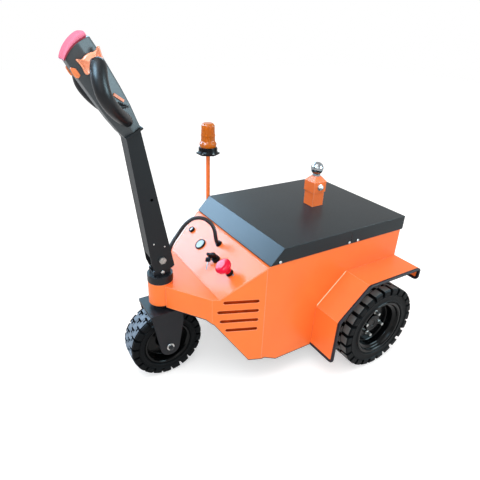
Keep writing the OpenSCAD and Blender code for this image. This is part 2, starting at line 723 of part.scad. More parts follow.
module pivot_bolt() color(steel) tug() translate([wheelbase, 0, pivot_z]) rotate([90, 0, 0]) {
    translate([0, 0, -arm_w / 2 - 6]) cylinder(r = pivot_r, h = arm_w + 12);
    for (z = [-arm_w / 2 - seat_gap - 7, arm_w / 2 + seat_gap]) translate([0, 0, z])
        cylinder(r = 13, h = 7, $fn = 6);
}

// Head, drawn in a frame that starts at the arm's top with Z along the head
module head_frame() arm_frame() translate([0, 0, arm_len]) rotate([0, top_cut, 0])
    translate([0, 0, 6]) children();

// Housing sections: height, back, ridge and front along X, half widths at back, ridge and front
housing = [
    [0, -31, -2, 25, 22, 30, 22],
    [20, -33, -2, 30, 23, 32, 23],
    [66, -39, -2, 36, 24, 36, 25],
    [120, -41.5, -3, 39, 24, 38, 26],
    [210, -42, -4, 43, 25, 38, 28],
    [head_len, -39, -2, 43, 24, 37, 27]];

// Housing section at height z, between the rows of the table
function housing_at(z, i = 0) = let (a = housing[i], b = housing[i + 1])
    z <= b[0] || i == len(housing) - 2 ? a + (b - a) * (z - a[0]) / (b[0] - a[0]) : housing_at(z, i + 1);

function hexagon(s) = [[s[1], -s[4]], [s[2], -s[5]], [s[3], -s[6]], [s[3], s[6]], [s[2], s[5]], [s[1], s[4]]];
module housing_loft() let (n = 6) polyhedron(
    [for (s = housing) each [for (q = hexagon(s)) [q[0], q[1], s[0]]]], tube_faces(len(housing), n));

// The housing's end is rounded under the belly switch, and its lower end has a recess on each side
end_r = 107;
end_at = [-16, 150];
module housing_body() difference() {
    intersection() {
        housing_loft();
        side_plate(100) {
            translate(end_at) circle(r = end_r);
            translate([-60, -1]) square([120, end_at[1]]);
        }
    }
    both_sides() side_recess();
}

module side_recess() let (s = housing_at(80)) translate([s[1], s[4], 0])
    rotate([0, 0, atan2(s[5] - s[4], s[2] - s[1])]) translate([0, 4, 0]) rotate([90, 0, 0])
        linear_extrude(12) polygon([[7, 63], [33, 94], [31, 72]]);

// Grip: x, y and z of its middle line in the head's frame, and its radius there
grip = [[-6, 20, 28, 12], [-5, 32, 36, 15], [-1, 46, 48, 17], [8, 67, 66, 18], [17, 88, 90, 18.5],
    [23, 106, 118, 19], [23, 116, 146, 19.5], [14, 112, 172, 20], [3, 102, 189, 20.5], [-7, 91, 200, 20],
    [-13, 83, 206, 16.5], [-17, 77, 209, 8]];

module grip_loop() tube_through([for (g = grip) [g[0], g[1], g[2]]], [for (g = grip) g[3]], 12);

hub_at = [-9, 207];
hub_r = 9;
module head_housing() color(dark) head_frame() {
    housing_body();
    both_sides() {
        grip_loop();
        translate([hub_at[0], 30, hub_at[1]]) rotate([-90, 0, 0]) cylinder(r = hub_r, h = 50, $fn = 24);
    }
}

// Pad on the end of the head: a curved bar with a round back end
pad_half_w = 34;
pad_r = 105;
pad_at = [-27, 169];
module belly_switch() color("#E8507A") head_frame() side_plate(2 * pad_half_w) {
    difference() {
        intersection() {
            translate(pad_at) circle(r = pad_r);
            polygon([[-32, 240], [47, 232], [47, 290], [-32, 290]]);
        }
        translate(end_at) circle(r = end_r + seat_gap);
    }
    translate([-32, 265.3]) circle(r = 8.6, $fn = 32);
}

// Butterfly throttle on each side, on its hub: its four tips, and how far the edge
// between two tips keeps out from the hub
throttle_tips = [[34, 23, 0.45], [-33, 26, 1.0], [-21, -29, 0.6], [33, -19, 1.0]];
// How much of each edge goes into the round of its tip
tip_round = 0.16;
function bow_at(a, b, keep, t) = let (m = keep * (a + b) / 2)
    (1 - t) * (1 - t) * a + 2 * t * (1 - t) * m + t * t * b;
function throttle_edge(i, t) = let (a = throttle_tips[i % 4], b = throttle_tips[(i + 1) % 4])
    bow_at([a[0], a[1]], [b[0], b[1]], a[2], t);
// Round tip at the end of an edge: half-way points between its two sides and the sharp tip
function round_tip(i) = let (tip = throttle_tips[(i + 1) % 4], from = throttle_edge(i, 1 - tip_round),
    to = throttle_edge(i + 1, tip_round)) [for (t = [0.25 : 0.25 : 0.75])
    (1 - t) * (1 - t) * from + 2 * t * (1 - t) * [tip[0], tip[1]] + t * t * to];
module throttle_outline() difference() {
    union() {
        circle(r = 16);
        polygon([for (i = [0 : 3]) each concat([for (k = [0 : 4])
            throttle_edge(i, tip_round + (1 - 2 * tip_round) * k / 4)], round_tip(i))]);
    }
    circle(r = hub_r + 0.4);
}

module throttles() color("#F2733A") head_frame() both_sides()
    translate([hub_at[0], 39 + 12, hub_at[1]]) rotate([90, 0, 0]) linear_extrude(12) throttle_outline();

// Rocker switches that lie on the housing's back facets
rocker_z = 100;
rocker = [7, 3, 33];
rocker_turn = 28;
module head_buttons() color("#F2733A") head_frame() both_sides() let (s = housing_at(rocker_z + 16))
    translate([s[1], s[4], rocker_z]) rotate([0, 0, atan2(s[5] - s[4], s[2] - s[1])])
        translate([24, rocker[1] / 2 + seat_gap, 0]) rotate([0, rocker_turn, 0]) cube(rocker, center = true);

body_tub();
nose_shell();
control_panel();
belly_pan();
chassis_rails();
battery_block();
lid();
fenders();
fender_trims();
steering_tube();
transaxle();
drive_motor();
hitch_post();
hitch_sleeve();
tow_ball();
hitch_bolt();
beacon_pole();
beacon_base();
beacon_lens();
charge_gauge();
key_switch();
stop_button();
charge_socket();
cable_glands();
control_cable();
rear_tyre_left();
rear_rim_left();
rear_hub_left();
rear_tyre_right();
rear_rim_right();
rear_hub_right();
front_tyre();
front_rim();
fork();
front_axle();
turntable_disc();
clevis();
tiller_arm();
arm_cover();
pivot_bolt();
head_housing();
belly_switch();
throttles();
head_buttons();
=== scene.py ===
"""Looks of a pedestrian electric tow tug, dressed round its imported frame.

Sizes are in millimetres from the rear axle, with X forward, Y to the tug's left and Z up from
the floor, as in the part's own source. A finished shape becomes a mesh in metres.
"""

import logging
from dataclasses import dataclass
from enum import Enum
from functools import reduce
from typing import Any, Iterable

import bmesh
import bpy
import numpy as np
from mathutils import Matrix


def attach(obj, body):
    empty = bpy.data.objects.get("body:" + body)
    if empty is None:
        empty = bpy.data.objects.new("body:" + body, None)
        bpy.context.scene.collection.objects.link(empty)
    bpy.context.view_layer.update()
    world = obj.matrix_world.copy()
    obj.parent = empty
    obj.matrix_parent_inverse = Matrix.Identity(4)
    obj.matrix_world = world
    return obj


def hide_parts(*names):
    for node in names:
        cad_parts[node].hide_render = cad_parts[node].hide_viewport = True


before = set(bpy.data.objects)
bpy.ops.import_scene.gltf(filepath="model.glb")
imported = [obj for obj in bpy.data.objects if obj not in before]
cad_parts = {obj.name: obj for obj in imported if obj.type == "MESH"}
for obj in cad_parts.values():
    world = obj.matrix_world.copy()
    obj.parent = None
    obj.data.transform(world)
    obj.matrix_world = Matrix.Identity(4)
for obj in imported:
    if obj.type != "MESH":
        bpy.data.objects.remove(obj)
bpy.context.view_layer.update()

Array = np.ndarray
Vector = tuple[float, float, float]
MM = 0.001
REAR_AXLE_X = -372.0
WHEELBASE = 722.0
LOG = logging.getLogger("tug")


# Shapes

@dataclass(frozen=True)
class Place:
    """A frame to draw in: its origin and the directions of its X, Y and Z, in the tug's millimetres."""

    origin: Vector = (0, 0, 0)
    x: Vector = (1, 0, 0)
    y: Vector = (0, 1, 0)
    z: Vector = (0, 0, 1)

    def of(self, points: Any) -> Array:
        """Origin plus each coordinate times its direction."""
        axes = np.array([self.x, self.y, self.z], float)
        return np.asarray(self.origin, float) + np.asarray(points, float) @ axes

    def at(self, x: float, y: float, z: float) -> "Place":
        """The same directions with the origin at a point of this frame."""
        return Place(tuple(self.of((x, y, z))), self.x, self.y, self.z)


def cos_sin(degrees: float) -> tuple[float, float]:
    """The cosine and sine of an angle in degrees."""
    return np.cos(np.radians(degrees)), np.sin(np.radians(degrees))


def leaning(origin: Vector, degrees: float) -> Place:
    """A frame turned about Y, with its Z leaning forward by the given degrees."""
    c, s = cos_sin(degrees)
    return Place(origin, (c, 0, -s), (0, 1, 0), (s, 0, c))


def outward_left(origin: Vector) -> Place:
    """A frame whose Z points to the tug's left, as a wheel's or a side bolt's axis does."""
    return Place(origin, (1, 0, 0), (0, 0, -1), (0, 1, 0))


@dataclass
class Shape:
    """A skin in millimetres: points (n, 3) and quads (m, 4) of their numbers."""

    points: Array
    quads: Array

    def __add__(self, other: "Shape") -> "Shape":
        """Both skins in one."""
        quads = np.vstack([self.quads, other.quads + len(self.points)])
        return Shape(np.vstack([self.points, other.points]), quads)

    def on(self, place: Place) -> "Shape":
        """The skin carried into a frame."""
        return Shape(place.of(self.points), self.quads)

    def moved(self, x: float, y: float, z: float) -> "Shape":
        """The skin moved along each axis."""
        return Shape(self.points + (x, y, z), self.quads)

    def mirrored(self) -> "Shape":
        """The skin's mirror image on the tug's other side."""
        return Shape(self.points * (1, -1, 1), self.quads[:, ::-1])

    def both_sides(self) -> "Shape":
        """The skin and its mirror image."""
        return self + self.mirrored()


def joined(shapes: Iterable[Shape]) -> Shape:
    """Several skins in one."""
    return reduce(Shape.__add__, shapes)


def grid(points: Array, loop_rows: bool = False, loop_columns: bool = False) -> Shape:
    """Quads over a grid of points: each cell joins a point to the next in its row and column.

    Args:
        points: the grid, (rows, columns, 3).
        loop_rows: the last row joins the first.
        loop_columns: the last column joins the first.

    Returns:
        The skin.
    """
    rows, columns = points.shape[:2]
    i = np.arange(rows - (not loop_rows))[:, None]
    j = np.arange(columns - (not loop_columns))[None, :]
    i2, j2 = (i + 1) % rows, (j + 1) % columns
    quads = np.stack([i * columns + j, i * columns + j2, i2 * columns + j2, i2 * columns + j], -1)
    return Shape(points.reshape(-1, 3), quads.reshape(-1, 4))


def turned(profile: Any, steps: int, closed: bool = True) -> Shape:
    """A profile of (radius, height) turned about Z: (r cos a, r sin a, z).

    Args:
        profile: the section, (n, 2).
        steps: how many places round the axis.
        closed: the section's end joins its start.

    Returns:
        The skin.
    """
    a = np.linspace(0, 2 * np.pi, steps, endpoint=False)[:, None]
    r, z = np.asarray(profile, float).T
    rings = np.stack([np.cos(a) * r, np.sin(a) * r, np.broadcast_to(z, (steps, len(z)))], -1)
    return grid(rings, True, closed)


def rounded(corners: Any, reach: Any, steps: int = 4, closed: bool = True) -> Array:
    """A line with round corners: from a to b, cut back by reach from corner c, (1-t)^2 a + 2t(1-t) c + t^2 b.

    Args:
        corners: the corner points, (n, 2) or (n, 3).
        reach: how far back the corners are cut, one for all or one a corner, at most 0.45 of an edge.
        steps: points in each corner.
        closed: the line closes on itself, or else its ends stay sharp.

    Returns:
        The points along the line.
    """
    corners = np.asarray(corners, float)
    reach = np.reshape(reach, (-1, 1))

    def cut(other: Array) -> Array:
        """The point that lies reach away from each corner towards the other one."""
        length = np.maximum(np.linalg.norm(other - corners, axis=1, keepdims=True), 1e-9)
        return (corners + (other - corners) / length * np.minimum(reach, 0.45 * length))[:, None]

    t = np.linspace(0, 1, steps)[None, :, None]
    before, after = cut(np.roll(corners, 1, 0)), cut(np.roll(corners, -1, 0))
    curve = (1 - t) ** 2 * before + 2 * t * (1 - t) * corners[:, None] + t * t * after
    if closed:
        return curve.reshape(-1, corners.shape[1])
    return np.vstack([corners[:1], curve[1:-1].reshape(-1, corners.shape[1]), corners[-1:]])


def lathe(profile: Any, reach: float, steps: int, turns: int) -> Shape:
    """An open profile of (radius, height) whose corners are rounded by reach, turned about Z."""
    return turned(rounded(profile, reach, steps, closed=False), turns, closed=False)


def lofted(rings: Array) -> Shape:
    """A closed skin over rings (rows, columns, 3), each end drawn in to the middle of its ring."""
    ends = np.broadcast_to(rings[[0, -1]].mean(1, keepdims=True), (2,) + rings.shape[1:])
    return grid(np.concatenate([ends[:1], rings, ends[1:]]), loop_columns=True)


def unit(v: Array) -> Array:
    """Each vector divided by its length."""
    return v / np.maximum(np.linalg.norm(v, axis=-1, keepdims=True), 1e-9)


def swept(path: Array, section: Array, normal: Any) -> Shape:
    """A section carried along a path: path + u * outward + v * normal, with outward = along x normal.

    Args:
        path: points along the way, (n, 3).
        section: (m, 2) for all of it, or (n, m, 2) where it changes on the way.
        normal: the direction of the section's v, one for all or one a point.

    Returns:
        The skin, with closed ends.
    """
    along = unit(np.gradient(path, axis=0))
    outward = unit(np.cross(along, np.broadcast_to(np.asarray(normal, float), path.shape)))
    up = np.cross(outward, along)
    section = np.broadcast_to(section, (len(path),) + section.shape[-2:])
    return lofted(path[:, None] + section[..., :1] * outward[:, None] + section[..., 1:] * up[:, None])


def circle(radius: Any, steps: int = 24) -> Array:
    """Points (radius cos a, radius sin a) round a circle.

    Args:
        radius: one radius, or a row of them.
        steps: points in a ring.

    Returns:
        The ring, or one ring for each radius.
    """
    a = np.linspace(0, 2 * np.pi, steps, endpoint=False)
    ring = np.stack([np.cos(a), np.sin(a)], -1)
    return ring * radius if np.isscalar(radius) else np.asarray(radius)[:, None, None] * ring


def rectangle(x0: float, y0: float, x1: float, y1: float) -> Array:
    """The four corners of an upright rectangle, anticlockwise."""
    return np.array([(x0, y0), (x1, y0), (x1, y1), (x0, y1)], float)


def inset(outline: Array, depth: float) -> Array:
    """Moves an outline in: each corner goes along the mean of its edges' normals, by depth from both.

    Args:
        outline: anticlockwise points, (n, 2).
        depth: how far in from each edge.

    Returns:
        The new points.
    """
    e = unit(np.roll(outline, -1, 0) - outline)
    n1 = np.stack([-e[:, 1], e[:, 0]], -1)
    n0 = np.roll(n1, 1, 0)
    return outline + depth * (n0 + n1) / np.maximum(1 + (n0 * n1).sum(1, keepdims=True), 0.3)


def stacked(outline: Array, rows: Any) -> Array:
    """The outline's ring for each row of how far it lies in and how high."""
    return np.stack([np.column_stack([inset(outline, d), np.full(len(outline), z)]) for d, z in rows])


def slab(outline: Array, low: float, high: float, edge: float = 0.0, steps: int = 3) -> Shape:
    """A slab with round edges: at turn t a ring lies in by e(1 - sin t), at e(1 - cos t) off the face.

    Args:
        outline: anticlockwise points, (n, 2).
        low: height of the lower face.
        high: height of the upper face.
        edge: radius of the edges.
        steps: rings in each edge.

    Returns:
        The skin.
    """
    if edge == 0:
        return lofted(stacked(outline, [(0.0, low), (0.0, high)]))
    t = np.linspace(0, np.pi / 2, steps)
    rows = [(edge * (1 - s), low + edge * (1 - c)) for s, c in zip(np.sin(t), np.cos(t))]
    rows += [(d, high + low - z) for d, z in reversed(rows)]
    return lofted(stacked(outline, rows))


def copies(shape: Shape, angles: Array) -> Shape:
    """The shape repeated round Z: each copy's (x, y) is turned by its angle.

    Args:
        shape: the shape to repeat.
        angles: one angle a copy, in radians.

    Returns:
        The skin.
    """
    c, s = np.cos(angles)[:, None], np.sin(angles)[:, None]
    x, y, z = shape.points.T
    points = np.stack([c * x - s * y, s * x + c * y, np.broadcast_to(z, (len(angles), len(z)))], -1)
    step = np.arange(len(angles))[:, None, None] * len(shape.points)
    return Shape(points.reshape(-1, 3), (shape.quads + step).reshape(-1, 4))


def rolled(shape: Shape, radius: float) -> Shape:
    """Rolls up a flat (along, across, height): angle = along / radius, distance = radius + height.

    Args:
        shape: the flat pattern.
        radius: where its height is zero.

    Returns:
        The skin.
    """
    along, across, height = shape.points.T
    a, r = along / radius, radius + height
    return Shape(np.stack([r * np.cos(a), r * np.sin(a), across], -1), shape.quads)


def smooth_line(points: Any, per_span: int) -> Array:
    """A Catmull-Rom curve through rows of numbers: 0.5(2b + (c-a)t + (2a-5b+4c-d)t^2 + (3b-a-3c+d)t^3).

    Args:
        points: rows to pass through, (n, k).
        per_span: how many points from each row to the next.

    Returns:
        The points along the curve.
    """
    p = np.asarray(points, float)
    q = np.vstack([2 * p[0] - p[1], p, 2 * p[-1] - p[-2]])
    a, b, c, d = (q[i:len(q) - 3 + i, None] for i in range(4))
    t = np.linspace(0, 1, per_span, endpoint=False)[None, :, None]
    square, cube = (2 * a - 5 * b + 4 * c - d) * t ** 2, (3 * b - a - 3 * c + d) * t ** 3
    curve = 0.5 * (2 * b + (c - a) * t + square + cube)
    return np.vstack([curve.reshape(-1, p.shape[1]), p[-1:]])


# Finishes

def linear(hex_colour: str) -> tuple[float, float, float, float]:
    """An sRGB colour as the linear numbers that a shader takes.

    Args:
        hex_colour: the colour, such as #F88040.

    Returns:
        Red, green, blue and 1.
    """
    c = np.array([int(hex_colour[i:i + 2], 16) / 255 for i in (1, 3, 5)])
    c = np.where(c <= 0.04045, c / 12.92, ((c + 0.055) / 1.055) ** 2.4)
    return (float(c[0]), float(c[1]), float(c[2]), 1.0)


def empty_nodes(owner: bpy.types.ID) -> bpy.types.NodeTree:
    """Turns on the nodes of a material or world and clears them.

    Args:
        owner: the material or world.

    Returns:
        Its nodes, with none left.
    """
    owner.use_nodes = True
    owner.node_tree.nodes.clear()
    return owner.node_tree


def add(tree: bpy.types.NodeTree, kind: str, inputs: dict[Any, Any] | None = None,
        **settings: Any) -> bpy.types.Node:
    """Adds a shader node with its settings and links.

    Args:
        tree: the material's or world's nodes.
        kind: the node's type without its ShaderNode prefix.
        inputs: for each input's name or number, a value or a socket to link.
        settings: the node's own properties.

    Returns:
        The node.
    """
    made = tree.nodes.new("ShaderNode" + kind)
    for key, value in settings.items():
        setattr(made, key, value)
    for key, value in (inputs or {}).items():
        if isinstance(value, bpy.types.NodeSocket):
            tree.links.new(value, made.inputs[key])
        else:
            made.inputs[key].default_value = value
    return made


@dataclass(frozen=True)
class Finish:
    """A finish with fine relief: a grain or peel, soft patches of shade, rounded sheet edges and a painted
    highlight on the folds.

    Grain, relief, patch and edge are real millimetres; a grain finer than a pixel is drawn at about a pixel.
    The slot is the record's material slot; it is not used.
    """

    name: str
    slot: str
    colour: str
    roughness: float
    specular: float = 0.2
    metallic: float = 0.0
    grain: float = 3.0
    relief: float = 0.02
    patch: float = 90.0
    shade: float = 0.04
    swing: float = 0.05
    edge: float = 0.0
    fold_highlight: float = 0.0
    transmission: float = 0.0

    def material(self) -> bpy.types.Material:
        """The finish as a material, made once and shared."""
        found = bpy.data.materials.get(self.name)
        return found if found else self.build()

    def build(self) -> bpy.types.Material:
        """Large noise swings the colour, fine noise the roughness and normal; a painted highlight can make
        the folds paler.

        Returns:
            The new material.
        """
        made = bpy.data.materials.new(self.name)
        tree = empty_nodes(made)
        where = add(tree, "TexCoord").outputs["Object"]
        patch = add(tree, "TexNoise", {"Vector": where, "Scale": 1 / (self.patch * MM), "Detail": 3.0})
        grain = add(tree, "TexNoise", {"Vector": where, "Scale": 1 / (self.grain * MM), "Detail": 2.0})
        ramp = add(tree, "ValToRGB", {"Fac": patch.outputs["Fac"]})
        base = np.array(linear(self.colour))[:3]
        for stop, position, change in zip(ramp.color_ramp.elements, (0.3, 0.7), (-self.shade, self.shade)):
            stop.position = position
            stop.color = (*np.clip(base * (1 + change), 0, 1), 1)
        rough = add(tree, "MapRange", {"Value": grain.outputs["Fac"], "From Min": 0.3, "From Max": 0.7,
                                       "To Min": self.roughness - self.swing,
                                       "To Max": self.roughness + self.swing})
        bump_inputs = {"Height": grain.outputs["Fac"], "Distance": self.relief * MM, "Strength": 1.0}
        colour = ramp.outputs["Color"]
        if self.edge:
            fold = add(tree, "Bevel", {"Radius": self.edge * MM}, samples=4).outputs["Normal"]
            bump_inputs["Normal"] = fold
        # Painted highlight: where the rounded normal turns from the flat one, the colour is mixed towards
        # pale cream
        if self.fold_highlight:
            flat = add(tree, "NewGeometry").outputs["Normal"]
            turn = add(tree, "VectorMath", {0: fold, 1: flat}, operation="DOT_PRODUCT").outputs["Value"]
            share = add(tree, "MapRange", {"Value": turn, "From Min": 0.995, "From Max": 0.95,
                                           "To Max": self.fold_highlight}).outputs["Result"]
            colour = add(tree, "MixRGB", {"Fac": share, "Color1": colour,
                                          "Color2": linear("#FFE3C4")}).outputs["Color"]
        bump = add(tree, "Bump", bump_inputs)
        body = add(tree, "BsdfPrincipled", {
            "Base Color": colour, "Roughness": rough.outputs["Result"], "Metallic": self.metallic,
            "Specular IOR Level": self.specular, "Normal": bump.outputs["Normal"],
            "Transmission Weight": self.transmission})
        add(tree, "OutputMaterial", {"Surface": body.outputs["BSDF"]})
        return made


class Finishes:
    """Every finish on the tug, named for what it is."""

    # Powder coat on sheet steel: satin gloss with a fine orange peel and soft folds, made paler by a painted
    # highlight
    ORANGE_COAT = Finish("orange_powder_coat", "orange_paint", "#FA7B36", 0.36, 0.26, relief=0.015, edge=2.5,
                         fold_highlight=0.35)
    # Orange coat darkened to a dull red-brown inside the body: painted shade, seen through the slots
    VENT_SHADE_COAT = Finish("vent_tray_painted_shade", "orange_paint", "#C04612", 0.7, 0.1, relief=0.03, patch=40, shade=0.3)
    # The lid's smooth blue-black coat: dark from above, with a wide blue sheen on its slope
    DARK_COAT = Finish("blue_black_lid_coat", "dark_paint", "#101A1F", 0.36, grain=2.5, relief=0.04, edge=2.5,
                       patch=140, shade=0.12)
    # Satin black enamel on the fork, disc and clevis
    BLACK_COAT = Finish("black_satin_enamel", "black_paint", "#121318", 0.42, grain=2.5, relief=0.03,
                        edge=1.5)
    # The tiller arm's soft black powder coat
    ARM_COAT = Finish("arm_powder_coat", "dark_paint", "#141619", 0.5, 0.18, grain=2.5, relief=0.04, edge=1.5)
    # Gloss black paint in the wheel rims: deep, with sharp lights
    RIM_ENAMEL = Finish("rim_gloss_enamel", "black_paint", "#050607", 0.16, 0.12, grain=8.0, swing=0.03)
    # Carbon-black rubber: matt and nearly black on the side walls and in the grooves
    TYRE_RUBBER = Finish("carbon_black_rubber", "tyre_rubber", "#090B0D", 0.5, 0.06, relief=0.1, patch=25,
                         shade=0.15)
    # Tops of the front tyre's blocks: rubber painted blue-grey as the light that falls on them
    FRONT_TREAD = Finish("front_tread_tops", "tyre_rubber", "#76879A", 0.6, relief=0.1, patch=20, shade=0.2)
    # Tops of the rear tyres' blocks: a darker grey than the front's, painted as the light that falls on them
    REAR_TREAD = Finish("rear_tread_tops", "tyre_rubber", "#5E6262", 0.65, relief=0.1, patch=20, shade=0.2)
    # Extruded edge trim: a softer, slightly purple-grey rubber
    TRIM_RUBBER = Finish("extruded_trim_rubber", "trim_rubber", "#191A22", 0.5, relief=0.03)
    # Bright zinc plate on bolts and axles
    ZINC = Finish("zinc_plate", "zinc", "#B4B3B0", 0.34, 0.5, 1.0, grain=2.0, patch=12, shade=0.15)
    # Dull steel of the pivot bolt's heads
    BOLT_STEEL = Finish("dull_bolt_steel", "zinc", "#8C8884", 0.4, 0.5, 1.0, grain=2.0, relief=0.03, patch=6,
                        shade=0.3)
    # Thin pale bead along the joint between fender and body: a painted highlight
    JOINT_HIGHLIGHT = Finish("painted_joint_highlight", "orange_paint", "#FFDDB4", 0.5, 0.3)
    # Black-oxide nuts, oily and nearly black
    BLACK_OXIDE = Finish("black_oxide_screw", "black_paint", "#17181B", 0.35, 0.4, grain=2.0)
    # Chromed steel of the tow ball
    CHROME = Finish("chromed_steel", "chrome", "#8F9498", 0.1, 0.5, 1.0, grain=6.0, relief=0.004, swing=0.03)
    # Moulded glass-filled plastic of the head, with a fine spark-eroded grain
    HEAD_PLASTIC = Finish("grained_head_plastic", "head_plastic", "#34393C", 0.48, 0.4, grain=4.0,
                          relief=0.006, edge=1.0, swing=0.02)
    # Smooth rubberised grip plastic, with a long soft blue gloss
    GRIP_PLASTIC = Finish("smooth_grip_plastic", "head_plastic", "#0A0C10", 0.4, 0.22, grain=5.0, relief=0.01)
    # Orange moulded switch parts
    ORANGE_PLASTIC = Finish("orange_moulded_plastic", "orange_plastic", "#F08B58", 0.4, relief=0.01)
    # The throttle wings' glossier orange, paler than the other orange parts as painted light on their lit
    # faces
    LIT_THROTTLE_PLASTIC = Finish("throttle_plastic_painted_light", "orange_plastic", "#FCA680", 0.3, 0.5, relief=0.01)
    # Red gloss knob of the stop button
    RED_PLASTIC = Finish("red_moulded_plastic", "red_plastic", "#DE0C38", 0.16, 0.14, grain=4.0, relief=0.01)
    # Soft matt pink skin of the belly pad
    PINK_PAD = Finish("pink_soft_pad", "pink_plastic", "#EE86A2", 0.6, 0.0, grain=6.0, relief=0.005)
    # Dark red strip where the pad meets the head: painted shade of the gap between them
    PAD_GAP_SHADE = Finish("pad_gap_painted_shade", "pink_plastic", "#8C2338", 0.6, grain=4.0, relief=0.01)
    # Black moulded plastic of the beacon's base and the panel fittings
    BLACK_PLASTIC = Finish("black_moulded_plastic", "black_plastic", "#0A0B0E", 0.3, 0.1)
    # Amber acrylic of the beacon, deep where it is seen through twice
    AMBER = Finish("amber_acrylic", "amber_lens", "#D87400", 0.1, 0.12, grain=6.0, relief=0.01, swing=0.02,
                   patch=30, transmission=0.35)
    # The beacon's lamp and reflector behind the acrylic
    LAMP = Finish("lamp_reflector", "amber_lens", "#C86C04", 0.3, 0.3, grain=4.0, relief=0.01)
    # Flexible cable sheath, red-black
    SHEATH = Finish("cable_sheath", "black_plastic", "#1C1418", 0.45, 0.3, grain=4.0)
    # Printed face of the charge gauge under its glass
    DIAL = Finish("dial_face", "black_plastic", "#B9D6DC", 0.3, 0.08, grain=4.0, relief=0.003, patch=8)


@dataclass(frozen=True)
class LitTreadTops:
    """The faces of a wheel beyond a radius from the axle, its block tops, with their own finish that paints
    the light on them.
    """

    x: float
    z: float
    radius: float
    finish: Finish

    def marks(self, points: Array, quads: Array) -> Array:
        """1 for each quad whose middle lies beyond the radius, and 0 for the others."""
        middle = points[quads].mean(1)
        return (np.hypot(middle[:, 0] - self.x, middle[:, 2] - self.z) > self.radius).astype(np.int32)


def put_in_scene(name: str, data: bpy.types.ID) -> bpy.types.Object:
    """Puts a mesh, light or camera into the scene.

    Args:
        name: the object's name.
        data: what it shows.

    Returns:
        The object, at the origin.
    """
    made = bpy.data.objects.new(name, data)
    bpy.context.scene.collection.objects.link(made)
    return made


def make_piece(name: str, shape: Shape, finish: Finish, body: str = "root", stands_for: str = "",
               sharp_deg: float = 35.0, lit_faces: LitTreadTops | None = None) -> bpy.types.Object:
    """Puts a shape into the scene as one finished piece.

    Args:
        name: the piece's plain name.
        shape: its skin, in the tug's millimetres.
        finish: what it is made of.
        body: the moving body that it rides on.
        stands_for: the solid that it replaces, or none.
        sharp_deg: edges that turn more than this stay sharp.
        lit_faces: a tyre's block tops, whose finish paints the light on them.

    Returns:
        The object, at the origin, with its place in its mesh.
    """
    mesh = bpy.data.meshes.new(name)
    mesh.from_pydata(((shape.points + (REAR_AXLE_X, 0, 0)) * MM).tolist(), [], shape.quads.tolist())
    mesh.materials.append(finish.material())
    # A tyre's block tops take a second finish that paints the light on them
    if lit_faces:
        mesh.materials.append(lit_faces.finish.material())
        mesh.polygons.foreach_set("material_index", lit_faces.marks(shape.points, shape.quads))
    bm = bmesh.new()
    bm.from_mesh(mesh)
    bmesh.ops.remove_doubles(bm, verts=bm.verts, dist=2e-6)
    bmesh.ops.recalc_face_normals(bm, faces=bm.faces)
    bm.to_mesh(mesh)
    bm.free()
    mesh.shade_smooth()
    mesh.set_sharp_from_angle(angle=np.radians(sharp_deg))
    made = put_in_scene(name, mesh)
    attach(made, body)
    if stands_for:
        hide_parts(stands_for)
    LOG.info("%s: %d faces on %s", name, len(mesh.polygons), body)
    return made


def hex_bolt(across: float, height: float, washer: float = 0.0, stud: float = 0.0) -> Shape:
    """A bolt head on z = 0: a washer, a hexagon with chamfered corners and the end of a stud.

    Args:
        across: radius over the hexagon's corners.
        height: height of the hexagon.
        washer: radius of the washer, or none.
        stud: how far the thread stands out of it.

    Returns:
        The skin.
    """
    head = slab(circle(across, 6), 1.5 if washer else 0, height, 0.8)
    if washer:
        head = head + slab(circle(washer, 32), 0, 2, 0.5)
    if stud:
        head = head + slab(circle(0.55 * across, 20), height - 1, height + stud, 0.8)
    return head


# Wheels

def two_sided(half: list[tuple[float, float]]) -> Array:
    """A wheel's half section of (radius, height), then its mirror image in reverse."""
    return np.array(half + [(a, -b) for a, b in reversed(half)])


@dataclass(frozen=True)
class TreadRow:
    """A row of tread blocks: its place and width across, share of the pitch, shift and notch."""

    middle: float
    width: float
    share: float
    shift: float
    notch: float


